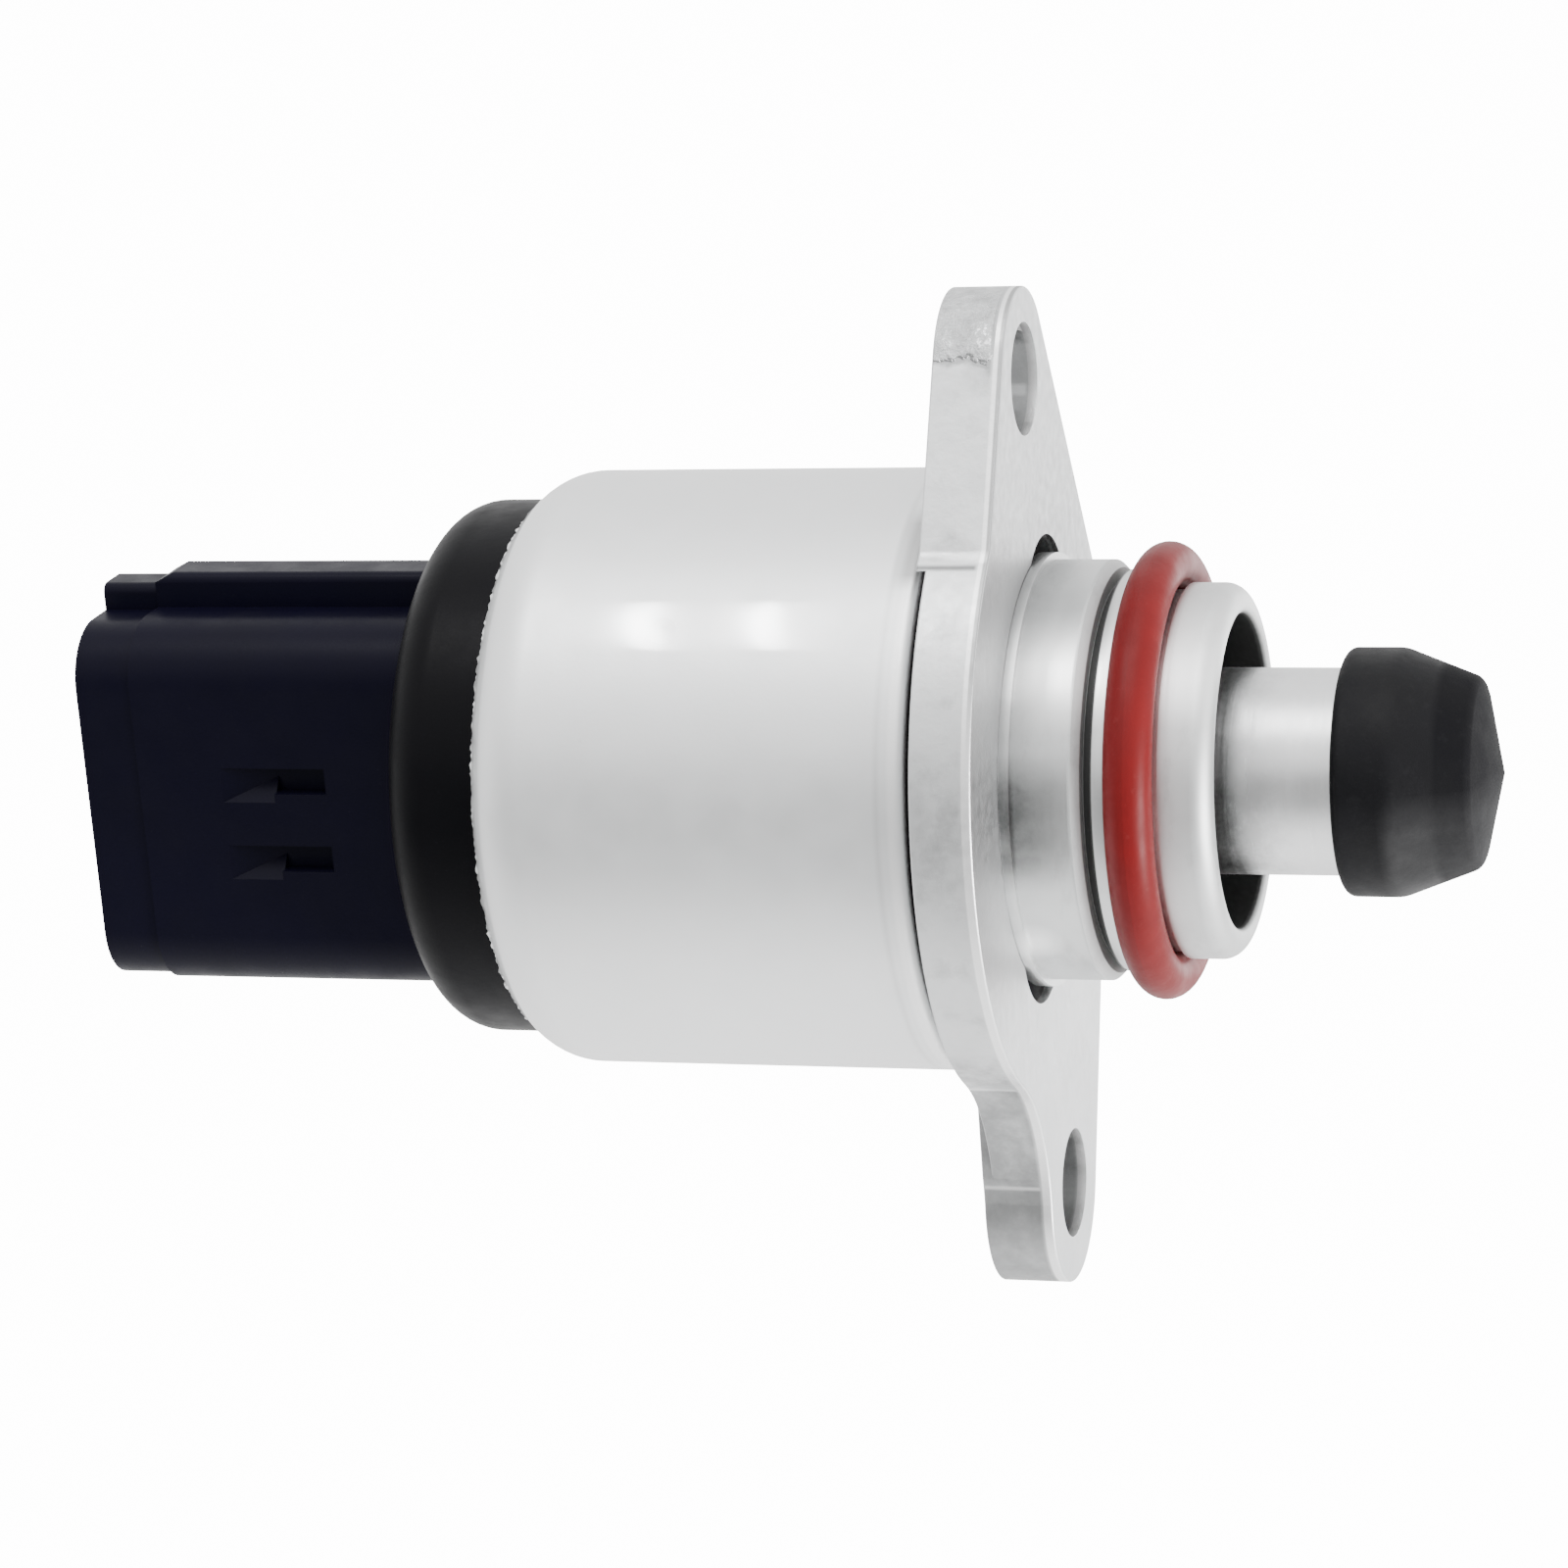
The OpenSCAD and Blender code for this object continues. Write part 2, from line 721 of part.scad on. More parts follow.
module thrust_washer() {
    color("gold")
    turned()
        ring_2d(journal_r + run_gap, thrust_r, x_thrust_back, x_thrust_back + thrust_t);
}

module rear_bearing_bush() {
    color("peru")
    turned()
        ring_2d(journal_r + run_gap, rear_bush_r, x_rear_bush_back, x_rear_bush_front);
}

// Claw poles that point along +X from a plate at x_root
module claws(x_root, turn) {
    intersection() {
        turned()
            ring_2d(claw_r, claw_r + sheet_t, x_root - sheet_t / 2, x_root + claw_len);
        for (i = [0 : claw_count - 1])
            rotate([turn + i * 360 / claw_count, 0, 0])
                linear_extrude(claw_r + 2 * sheet_t)
                    polygon([
                        [x_root - sheet_t / 2, -claw_root_w / 2],
                        [x_root, -claw_root_w / 2],
                        [x_root + claw_len, -claw_tip_w / 2],
                        [x_root + claw_len, claw_tip_w / 2],
                        [x_root, claw_root_w / 2],
                        [x_root - sheet_t / 2, claw_root_w / 2]
                    ]);
    }
}

// The outer cup of one stator half, with its open side towards +X
module stator_cup(x_back) {
    turned() {
        ring_2d(claw_r, cup_r, x_back, x_back + sheet_t);
        ring_2d(cup_bore_r, cup_r, x_back, x_back + half_len);
    }
    claws(x_back + sheet_t, 90 / claw_count);
}

// The inner plate of one stator half, with its claw poles between the cup's
module stator_plate(x_back) {
    turned()
        ring_2d(claw_r, cup_bore_r - seat_gap, x_back + half_len - sheet_t, x_back + half_len);
    translate([2 * x_back + half_len, 0, 0])
        mirror([1, 0, 0])
            claws(x_back + sheet_t, 270 / claw_count);
}

// Mirrors the rear stator half into the front one
module front_half() {
    translate([2 * x_stator_mid, 0, 0])
        mirror([1, 0, 0])
            children();
}

module bobbin(x_back) {
    x_in = x_back + sheet_t + seat_gap;
    x_out = x_back + half_len - sheet_t - seat_gap;
    turned() {
        ring_2d(bobbin_bore_r, bobbin_bore_r + bobbin_wall, x_in, x_out);
        ring_2d(bobbin_bore_r, bobbin_flange_r, x_in, x_in + bobbin_wall);
        ring_2d(bobbin_bore_r, bobbin_flange_r, x_out - bobbin_wall, x_out);
    }
}

module coil(x_back) {
    x_in = x_back + sheet_t + seat_gap + bobbin_wall + press_gap;
    x_out = x_back + half_len - sheet_t - seat_gap - bobbin_wall - press_gap;
    turned()
        ring_2d(coil_bore_r, coil_r, x_in, x_out);
}

module stator_cup_front() {
    color("slategray")
    front_half()
        stator_cup(x_stator_back);
}

module stator_plate_front() {
    color("lightslategray")
    front_half()
        stator_plate(x_stator_back);
}

module bobbin_front() {
    color("beige")
    front_half()
        bobbin(x_stator_back);
}

module coil_front() {
    color("sienna")
    front_half()
        coil(x_stator_back);
}

module stator_cup_rear() {
    color("slategray")
    stator_cup(x_stator_back);
}

module stator_plate_rear() {
    color("lightslategray")
    stator_plate(x_stator_back);
}

module bobbin_rear() {
    color("beige")
    bobbin(x_stator_back);
}

module coil_rear() {
    color("sienna")
    coil(x_stator_back);
}

// The outside of the socket, drawn in by an inset and with its key rail lowered by a drop
module shroud_2d(inset, drop) {
    rail_top = shroud_h / 2 + rail_h - drop;
    rail_half = rail_w / 2 - inset;
    translate([0, shroud_z]) {
        round_rect(shroud_w - 2 * inset, shroud_h - 2 * inset, shroud_corner_r - inset);
        translate([-rail_half, 0])
            square([2 * rail_half, rail_top - rail_edge_r]);
        translate([rail_edge_r - rail_half, 0])
            square([2 * (rail_half - rail_edge_r), rail_top]);
        for (side = [-1, 1])
            translate([side * (rail_half - rail_edge_r), rail_top - rail_edge_r])
                circle(rail_edge_r);
    }
}

// A latch pocket in the near wall: its mouth half slopes out downwards and towards the
// mouth, and its other half is square and deep
module latch_pocket(z_mid) {
    wall_y = -shroud_w / 2;
    x_half = x_latch - latch_len / 2;
    z_low = z_mid - latch_h / 2;
    z_high = z_mid + latch_h / 2;
    translate([x_half, wall_y - over, z_low + latch_h / 4])
        cube([latch_len / 2, over + latch_depth, latch_h * 3 / 4]);
    intersection() {
        translate([0, 0, z_low])
            linear_extrude(latch_h)
                polygon([
                    [x_half - latch_len / 2, wall_y],
                    [x_half - latch_len / 2, wall_y - over],
                    [x_half + over, wall_y - over],
                    [x_half + over, wall_y + latch_depth],
                    [x_half, wall_y + latch_depth]
                ]);
        along_x(x_latch - latch_len - over, x_half)
            polygon([
                [wall_y - over, z_low],
                [wall_y, z_low],
                [wall_y + latch_depth + over, z_high],
                [wall_y - over, z_high]
            ]);
    }
}

// The round part of the housing, from the ring behind the can to its flange inside it
module housing_core_2d() {
    difference() {
        union() {
            ring_2d(0, ring_r, x_ring_back, x_house_flange);
            ring_2d(0, house_flange_r, x_house_flange, x_house_front);
        }
        ring_2d(seal_floor_r, ring_r + over, x_rear_groove, x_house_flange);
        corner_cut(ring_r, x_ring_back, ring_edge_r, -1);
        ring_2d(0, rear_bush_r + press_gap, x_pocket_back, x_house_front + over);
        ring_2d(0, screw_hole_r, x_hole_back, x_house_front + over);
    }
}

// The wedge over the ramp between the key rail's two heights
module rail_ramp_cut() {
    x_step = x_shroud + mouth_step_len;
    rail_top = shroud_z + shroud_h / 2 + rail_h;
    across_y(rail_w + 2 * over)
        polygon([
            [x_step - over, rail_top - rail_ramp_h],
            [x_step, rail_top - rail_ramp_h],
            [x_step + rail_ramp_len, rail_top],
            [x_step + rail_ramp_len, rail_top + over],
            [x_step - over, rail_top + over]
        ]);
}

module connector_housing() {
    color("#16161c")
    difference() {
        union() {
            turned()
                housing_core_2d();
            along_x(x_shroud + mouth_step_len, x_outer_bend)
                shroud_2d(0, 0);
            along_x(x_shroud, x_shroud + mouth_step_len)
                shroud_2d(mouth_step, rail_step);
        }
        along_x(x_shroud - over, x_floor)
            translate([0, shroud_z])
                round_rect(shroud_w - 2 * shroud_wall, shroud_h - 2 * shroud_wall, cavity_corner_r);
        rail_ramp_cut();
        latch_pocket(latch_z);
        latch_pocket(latch_z - latch_pitch);
        for (i = [0 : 3])
            terminal(i, press_gap);
    }
}

module rear_seal_ring() {
    color("black")
    turned()
        translate([seal_r, x_rear_seal])
            circle(rear_seal_d / 2);
}

// One terminal: a strip bent twice, from the socket to its tail beside the stator
module terminal(i, grow) {
    outer = i == 0 || i == 3;
    up = i < 2 ? 1 : -1;
    blade_z = shroud_z + (1.5 - i) * pin_pitch;
    tail_z = up * (outer ? outer_tail_z : inner_tail_z);
    bend = outer ? x_outer_bend : x_inner_bend;
    half = pin_t / 2 + grow;
    across_y(pin_w + 2 * grow)
        polygon([
            [x_pin_tip - grow, blade_z - up * half],
            [bend + pin_t + grow, blade_z - up * half],
            [bend + pin_t + grow, tail_z - up * half],
            [x_tail + grow, tail_z - up * half],
            [x_tail + grow, tail_z + up * half],
            [bend - grow, tail_z + up * half],
            [bend - grow, blade_z + up * half],
            [x_pin_tip - grow, blade_z + up * half]
        ]);
}

module terminal_pin_1() {
    color("tan")
    terminal(0, 0);
}

module terminal_pin_2() {
    color("tan")
    terminal(1, 0);
}

module terminal_pin_3() {
    color("tan")
    terminal(2, 0);
}

module terminal_pin_4() {
    color("tan")
    terminal(3, 0);
}

module lead_screw() {
    color("darkgray")
    turned() {
        ring_2d(0, screw_r, x_screw_back, x_stem_back - seat_gap);
        ring_2d(0, screw_end_r, x_screw_back, x_stem_back + screw_end_len);
    }
}

// The outside of the stem's neck and barb, grown for the rubber's cavity
module stem_nose_2d(grow) {
    x_neck = stem_reach + neck_len;
    ring_2d(0, neck_r + grow, stem_reach - over, x_neck + grow);
    polygon([
        [0, x_neck - grow],
        [barb_r + grow, x_neck - grow],
        [barb_r + grow, x_neck + barb_len / 3],
        [neck_r / 2 + grow, x_neck + barb_len + grow],
        [0, x_neck + barb_len + grow]
    ]);
}

module pintle_stem() {
    color("silver")
    difference() {
        union() {
            turned() {
                ring_2d(0, stem_r, x_stem_back, stem_reach);
                stem_nose_2d(0);
            }
            across_keyways(lug_w, lug_r, x_stem_back, x_stem_back + lug_len);
        }
        turned()
            ring_2d(0, screw_end_r + press_gap, x_stem_back - over,
                x_stem_back + screw_end_len + stop_gap);
    }
}

module pintle_head() {
    color("#2b2b2e")
    turned()
    difference() {
        polygon([
            [0, x_head_back],
            [head_r, x_head_back],
            [head_r, x_head_taper],
            [head_tip_r, x_head_tip],
            [0, x_head_point]
        ]);
        corner_cut(head_r, x_head_back, head_edge_r, -1);
        ring_2d(0, stem_r + press_gap, x_head_back - over, stem_reach + press_gap);
        stem_nose_2d(press_gap);
    }
}

flange_plate();
can_shell();
can_gasket();
nose_collar();
o_ring();
guide_bush();
front_spring_washer();
front_bearing_outer_race();
front_bearing_inner_race();
front_bearing_balls();
front_bearing_cage();
rotor_nut();
rotor_magnet();
thrust_washer();
rear_bearing_bush();
stator_cup_front();
stator_plate_front();
bobbin_front();
coil_front();
stator_cup_rear();
stator_plate_rear();
bobbin_rear();
coil_rear();
connector_housing();
rear_seal_ring();
terminal_pin_1();
terminal_pin_2();
terminal_pin_3();
terminal_pin_4();
lead_screw();
pintle_stem();
pintle_head();
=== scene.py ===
import math

import bmesh
import bpy
from bpy.props import FloatProperty, FloatVectorProperty, IntProperty, PointerProperty
from mathutils import Matrix, Vector, noise


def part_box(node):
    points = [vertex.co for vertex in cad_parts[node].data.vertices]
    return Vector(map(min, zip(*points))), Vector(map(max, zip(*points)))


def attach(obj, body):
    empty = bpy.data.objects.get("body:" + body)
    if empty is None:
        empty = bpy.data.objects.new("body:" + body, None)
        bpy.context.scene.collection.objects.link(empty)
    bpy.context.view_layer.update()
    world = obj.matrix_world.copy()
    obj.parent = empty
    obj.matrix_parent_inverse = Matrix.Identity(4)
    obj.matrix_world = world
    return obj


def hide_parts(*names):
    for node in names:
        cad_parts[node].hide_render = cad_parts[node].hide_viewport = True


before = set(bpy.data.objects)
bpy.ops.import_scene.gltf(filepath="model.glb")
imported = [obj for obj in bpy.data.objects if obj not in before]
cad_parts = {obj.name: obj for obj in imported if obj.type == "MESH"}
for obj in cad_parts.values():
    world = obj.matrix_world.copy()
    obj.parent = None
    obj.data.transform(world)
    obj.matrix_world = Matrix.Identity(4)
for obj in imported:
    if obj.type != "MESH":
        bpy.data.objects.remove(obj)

bl_info = {
    "name": "Idle Air Control Valve",
    "version": (1, 0, 0),
    "blender": (4, 2, 0),
    "location": "3D View > Sidebar > Valve",
    "description": "Builds the looks of an idle air control valve round its CAD frame",
    "category": "Object",
}

MM = 0.001

# Places on the valve: along the axis from the flange face, heights over the axis
CAN_RADIUS = 15.0 * MM
CAN_BACK = -25.9 * MM
CAN_RIM = (-4.35 * MM, -3.75 * MM)
UPPER_HOLE = 19.8 * MM
LOWER_HOLE = -22.0 * MM
EAR_BACK = (-3.6 * MM, -2.9 * MM)
PLATE_WALL = (-4.0 * MM, -0.55 * MM)
SEAL_GROOVE = (3.8 * MM, 4.34 * MM)
SOCKET_FRONT = -31.0 * MM
SHROUD_STEP = -38.2 * MM
HEAD_BACK = 15.5 * MM

# Marks of casting and use, and the places of painted shade and painted highlights
GATE_EDGE = 21.75 * MM
RIDGES = (-13.75 * MM, -20.37 * MM)
RIM_END = (-13.3 * MM, -11.0 * MM)
CREASE = (12.86 * MM, 13.04 * MM)
HOLE_HIGHLIGHT = (18.45 * MM, 18.95 * MM)
COLLAR_GLINT = (0.9 * MM, -8.35 * MM, -6.2 * MM)
DINGS = ((-15.9 * MM, math.radians(43)), (-10.1 * MM, math.radians(48)))

# Lamps that the can reflects
SPOT_STATIONS = (-17.2 * MM, -11.0 * MM)
SPOT_TILT = math.radians(44)
SPOT_WIDTH = 1.5 * MM
SPOT_HEIGHT = 90.0 * MM
SPOT_DISTANCE = 250.0 * MM

# Where the surround and the floor get darker towards the near side
NEAR_SIDE = (-0.2, -0.8)
FLOOR_LEVEL = -350.0 * MM

# Edges that are turned by more than SHARP are rounded, and by more than CRISP shaded as corners
SHARP = math.radians(25)
CRISP = math.radians(32)

# How far off a face the middle of an edge may lie and still count as on it
AT_FACE = 0.1 * MM

# Sockets of Blender's Mix node for colours: the share, the two colours and the result
MIX_INPUTS = (0, 6, 7)
MIX_OUTPUT = 2
WHITE = (1.0, 1.0, 1.0, 1.0)


# Settings

def length(name, description, default, low=0.0, high=0.1):
    return FloatProperty(name=name, description=description, default=default, min=low, max=high,
                         unit="LENGTH", precision=5)


def factor(name, description, default, high=1.0):
    return FloatProperty(name=name, description=description, default=default, min=0.0, max=high,
                         subtype="FACTOR")


def tint(name, description, default):
    return FloatVectorProperty(name=name, description=description, default=default, size=3,
                               min=0.0, max=1.0, subtype="COLOR")


class ValveShape(bpy.types.PropertyGroup):
    flange_round: length("Flange rounding", "Rounding of the cast plate's outer edges", 0.6 * MM)
    hole_round: length("Hole rounding", "Rounding of the bolt holes and relief notches", 0.15 * MM)
    can_round: length("Can edge", "Rounding of the can's front edge", 0.42 * MM)
    turned_round: length("Turned rounding", "Rounding of the edges on turned metal", 0.1 * MM)
    moulded_round: length("Moulded rounding", "Rounding of the edges on moulded plastic", 0.35 * MM)
    mouth_round: length("Mouth rounding", "Rounding of the plug socket's outer edge at its mouth",
                        0.8 * MM)
    rubber_round: length("Rubber rounding", "Rounding of the edges on the rubber head", 0.3 * MM)
    round_steps: IntProperty(name="Rounding steps", description="Faces across each rounding",
                             default=4, min=1, max=8)
    lip_ragged: length("Ragged lip", "How far the can's rolled rear lip wanders", 0.13 * MM)
    thread_pitch: length("Thread pitch", "Lead of the screw for one turn", 1.0 * MM)
    thread_depth: length("Thread depth", "Depth of the screw's thread", 0.4 * MM)


class ValveFinish(bpy.types.PropertyGroup):
    cast: tint("Cast plate", "Colour of the cast flange", (0.70, 0.71, 0.715))
    can: tint("Can", "Colour of the plated can", (0.86, 0.87, 0.875))
    turned: tint("Turned collar", "Colour of the turned collar and nose", (0.68, 0.69, 0.69))
    stem: tint("Stem", "Colour of the bright stem", (0.78, 0.785, 0.79))
    seal: tint("O-ring", "Colour of the red O-ring", (0.145, 0.0075, 0.0080))
    head: tint("Rubber head", "Colour of the rubber head", (0.0022, 0.0022, 0.0030))
    socket: tint("Plug socket", "Colour of the plug socket", (0.0027, 0.0023, 0.0088))
    shoulder: tint("Round shoulder", "Colour of the round shoulder", (0.0018, 0.0017, 0.0025))
    gloss: factor("Can gloss", "Weight of the clear gloss over the can's plating", 1.0)
    # Besides scuffs, stains and pitting, this also sets the painted shadow under the upper ear, the
    # painted shade on the collar and the painted light on the head's lower side
    wear_and_shading: factor("Wear", "Strength of scuffs, stains and pitting", 1.0, 2.0)
    relief: factor("Relief", "Strength of the fine surface relief", 1.0, 2.0)


class ValveStage(bpy.types.PropertyGroup):
    azimuth: FloatProperty(name="Azimuth", description="Direction of the camera round the valve",
                           default=math.radians(16.81), subtype="ANGLE")
    elevation: FloatProperty(name="Elevation", description="Height of the camera over the valve",
                             default=math.radians(16.89), subtype="ANGLE")
    roll: FloatProperty(name="Roll", description="Tilt of the camera about its own view",
                        default=math.radians(-4.49), subtype="ANGLE")
    distance: length("Distance", "Distance of the camera from the flange face", 0.25, high=2.0)
    aside: length("Aside", "How far the camera is moved sideways", 13.13 * MM)
    lower: length("Lower", "How far the camera is moved down", 0.733 * MM)
    lens: FloatProperty(name="Lens", description="Focal length of the camera", default=115.8,
                        min=20.0, max=300.0, unit="CAMERA")
    sky: factor("Surround", "Brightness of the pale surround", 1.75, 4.0)
    backdrop: factor("Backdrop", "Glow of the surround as the camera sees it", 13.0, 20.0)
    side: factor("Side light", "Power of the broad lamp beside the nose, in watts", 4.2, 40.0)
    back: factor("Back light", "Power of the broad lamp behind the valve, in watts", 1.2, 40.0)
    near: factor("Near side", "Brightness of the surround's near side as a share of the rest", 0.35)
    key: factor("Key light", "Power of the two narrow lamps that the can reflects, in watts",
                0.08, 20.0)
    fill: factor("Fill light", "Power of the broad soft lamp overhead, in watts", 1.2, 40.0)


def settings():
    scene = bpy.context.scene
    return scene.valve_shape, scene.valve_finish, scene.valve_stage


# Materials

def calc(tree, kind, *values):
    """A Math node fed by sockets and plain numbers."""
    node = tree.nodes.new("ShaderNodeMath")
    node.operation = kind
    for socket, value in zip(node.inputs, values):
        if isinstance(value, bpy.types.NodeSocket):
            tree.links.new(value, socket)
        else:
            socket.default_value = value
    return node.outputs["Value"]


class Look:
    """One procedural material, built node by node on object coordinates."""

    def __init__(self, name):
        self.mat = bpy.data.materials.new(name)
        self.mat.use_nodes = True
        self.tree = self.mat.node_tree
        self.tree.nodes.clear()
        self.bsdf = self.add("ShaderNodeBsdfPrincipled")
        self.link(self.bsdf.outputs["BSDF"], self.add("ShaderNodeOutputMaterial").inputs["Surface"])
        self.coord = self.add("ShaderNodeTexCoord").outputs["Object"]

    def add(self, kind, **values):
        node = self.tree.nodes.new(kind)
        for key, value in values.items():
            setattr(node, key, value)
        return node

    def link(self, source, target):
        self.tree.links.new(source, target)

    def put(self, target, value):
        if isinstance(value, bpy.types.NodeSocket):
            self.link(value, target)
        else:
            target.default_value = value

    def grain(self, scale, detail=4.0, rough=0.55, stretch=(1, 1, 1), shift=(0, 0, 0)):
        """Noise from 0 to 1, with its stretch and its place."""
        place = self.add("ShaderNodeMapping")
        place.inputs["Scale"].default_value = stretch
        place.inputs["Location"].default_value = shift
        self.link(self.coord, place.inputs["Vector"])
        node = self.add("ShaderNodeTexNoise")
        node.inputs["Scale"].default_value = scale
        node.inputs["Detail"].default_value = detail
        node.inputs["Roughness"].default_value = rough
        self.link(place.outputs["Vector"], node.inputs["Vector"])
        return node.outputs["Fac"]

    def pits(self, scale):
        """The distance from scattered points."""
        node = self.add("ShaderNodeTexVoronoi")
        node.inputs["Scale"].default_value = scale
        self.link(self.coord, node.inputs["Vector"])
        return node.outputs["Distance"]

    def axis(self, which):
        split = self.add("ShaderNodeSeparateXYZ")
        self.link(self.coord, split.inputs["Vector"])
        return split.outputs[which]

    def sideness(self):
        """How far a surface faces away from the valve's axis: 0 along the axis, 1 across it."""
        split = self.add("ShaderNodeSeparateXYZ")
        self.link(self.add("ShaderNodeNewGeometry").outputs["True Normal"], split.inputs["Vector"])
        return self.calc("SUBTRACT", 1.0, self.calc("ABSOLUTE", split.outputs["X"]))

    def span(self, value, low, high, to_low=0.0, to_high=1.0):
        """Maps a value from one range to another and holds it within the second."""
        node = self.add("ShaderNodeMapRange", clamp=True)
        numbers = {"From Min": low, "From Max": high, "To Min": to_low, "To Max": to_high}
        for key, number in numbers.items():
            node.inputs[key].default_value = number
        self.link(value, node.inputs["Value"])
        return node.outputs["Result"]

    def calc(self, kind, *values):
        return calc(self.tree, kind, *values)

    def times(self, first, *others):
        """The product of several masks or numbers."""
        for other in others:
            first = self.calc("MULTIPLY", first, other)
        return first

    def mix(self, share, first, second):
        node = self.add("ShaderNodeMix", data_type="RGBA")
        for index, value in zip(MIX_INPUTS, (share, first, second)):
            if not isinstance(value, (bpy.types.NodeSocket, float)):
                value = (*value, 1.0)
            self.put(node.inputs[index], value)
        return node.outputs[MIX_OUTPUT]

    def over(self, colour, tone, *shares):
        """Lays a tone over a colour, by the product of masks and numbers."""
        return self.mix(self.times(*shares), colour, tone)

    def window(self, which, low, high, soft):
        """A mask that is 1 between two places along one axis, and fades over soft."""
        place = self.axis(which)
        rise = self.span(place, low - soft, low + soft)
        fall = self.span(place, high - soft, high + soft, 1.0, 0.0)
        return self.times(rise, fall)

    def around(self, place, inner, outer):
        """A mask round one point: 1 inside, 0 outside."""
        node = self.add("ShaderNodeVectorMath", operation="DISTANCE")
        self.link(self.coord, node.inputs[0])
        node.inputs[1].default_value = place
        return self.span(node.outputs["Value"], inner, outer, 1.0, 0.0)

    def near_line(self, height, inner, outer):
        """A mask round a line along X at a height over the axis: 1 inside, 0 outside."""
        y = self.axis("Y")
        z = self.calc("SUBTRACT", self.axis("Z"), height)
        square = self.calc("ADD", self.times(y, y), self.times(z, z))
        return self.span(self.calc("SQRT", square), inner, outer, 1.0, 0.0)

    def bump(self, height, distance, strength, under=None):
        node = self.add("ShaderNodeBump")
        node.inputs["Distance"].default_value = distance
        node.inputs["Strength"].default_value = strength
        self.link(height, node.inputs["Height"])
        if under is not None:
            self.link(under, node.inputs["Normal"])
        return node.outputs["Normal"]

    def finish(self, colour, rough, metallic=0.0, normal=None, specular=0.5):
        self.put(self.bsdf.inputs["Base Color"], colour)
        self.put(self.bsdf.inputs["Roughness"], rough)
        self.put(self.bsdf.inputs["Metallic"], metallic)
        self.put(self.bsdf.inputs["Specular IOR Level"], specular)
        if normal is not None:
            self.link(normal, self.bsdf.inputs["Normal"])
        return self.mat


def darker(colour, share):
    return tuple(c * share for c in colour)


def gate_marks(look, colour, cast, wall):
    """The rough mark of the casting gate on the upper ear, and a painted shadow under its lower edge.
    """
    uneven = look.span(look.grain(700, 4, 0.6, shift=(3, 3, 3)), 0.3, 0.7, -0.5 * MM, 0.5 * MM)
    height = look.calc("ADD", look.axis("Z"), uneven)
    mark = look.times(look.span(height, GATE_EDGE, GATE_EDGE + 0.15 * MM), wall)
    # foot: painted shadow along the lower edge of the proud gate mark
    foot = look.times(look.span(height, GATE_EDGE - 0.45 * MM, GATE_EDGE - 0.15 * MM), wall,
                      look.span(height, GATE_EDGE, GATE_EDGE + 0.25 * MM, 1.0, 0.0))
    pitted = look.span(look.grain(900, 6, 0.7, shift=(5, 0, 0)), 0.4, 0.65)
    colour = look.over(colour, darker(cast, 0.45), mark, pitted, 0.5)
    colour = look.over(colour, darker(cast, 0.35), foot, 0.7)
    return colour, look.times(mark, look.span(pitted, 0.0, 1.0, 1.0, 0.6))


def lower_wall_shading(look, colour, cast, wall):
    """The clouded wall of the lower ear, painted darker below its ridges and at the rim's end as
    shade, with painted highlights along the two ridges.
    """
    height = look.axis("Z")
    upper_ridge, lower_ridge = RIDGES
    lower = look.span(height, upper_ridge - 0.2 * MM, upper_ridge, 1.0, 0.0)
    lowest = look.span(height, lower_ridge - 0.18 * MM, lower_ridge + 0.02 * MM, 1.0, 0.0)
    clouds = look.span(look.grain(330, 5, 0.62, shift=(8, 2, 5)), 0.35, 0.65, 0.45, 1.0)
    blotches = look.span(look.grain(620, 5, 0.65, shift=(2, 9, 4)), 0.38, 0.62)
    rim_end = look.window("Z", *RIM_END, 0.5 * MM)
    # Painted shade: the wall is darker below the upper ridge, below the lower ridge and at the rim's
    # end
    colour = look.over(colour, darker(cast, 0.42), lower, clouds, wall, 0.86)
    colour = look.over(colour, darker(cast, 0.3), lower, blotches, wall, 0.55)
    colour = look.over(colour, darker(cast, 0.42), lowest, wall, 0.45)
    colour = look.over(colour, darker(cast, 0.4), rim_end, blotches, wall, 0.55)
    # Painted highlights along the two ridges
    for ridge in RIDGES:
        line = look.window("Z", ridge - 0.09 * MM, ridge + 0.09 * MM, 0.06 * MM)
        colour = look.over(colour, (0.9, 0.9, 0.9), line, wall, 0.6)
    return colour


def face_shading(look, colour, cast, wall):
    """Painted shade over the face's upper part, a painted highlight along its near edge with a painted
    dark line beside it, and painted shade along the upper crease.
    """
    height = look.axis("Z")
    # Painted shade: the face darker from 13 mm under the axis upwards
    face = look.times(look.span(look.axis("X"), -0.03 * MM, -0.01 * MM),
                      look.span(height, -13.0 * MM, 0.0))
    colour = look.over(colour, darker(cast, 0.6), face, 0.9)
    # Painted highlight along the face's rounded near edge
    edge_highlight = look.window("X", -0.46 * MM, -0.03 * MM, 0.03 * MM)
    colour = look.over(colour, (0.97, 0.97, 0.97), edge_highlight, 0.9)
    off_hole = look.span(look.near_line(UPPER_HOLE, 4.3 * MM, 4.5 * MM), 0.0, 1.0, 1.0, 0.0)
    # Painted shade: a dark line on the edge's rounding beside the highlight, away from the upper hole
    colour = look.over(colour, darker(cast, 0.4), look.window("X", -0.24 * MM, 0.1 * MM, 0.03 * MM),
                       off_hole, look.span(look.sideness(), 0.2, 0.45),
                       look.span(height, 5.0 * MM, 9.0 * MM), 0.85)
    # Painted shade along the upper crease
    crease = look.window("Z", *CREASE, 0.06 * MM)
    return look.over(colour, darker(cast, 0.25), crease, wall, 0.95)


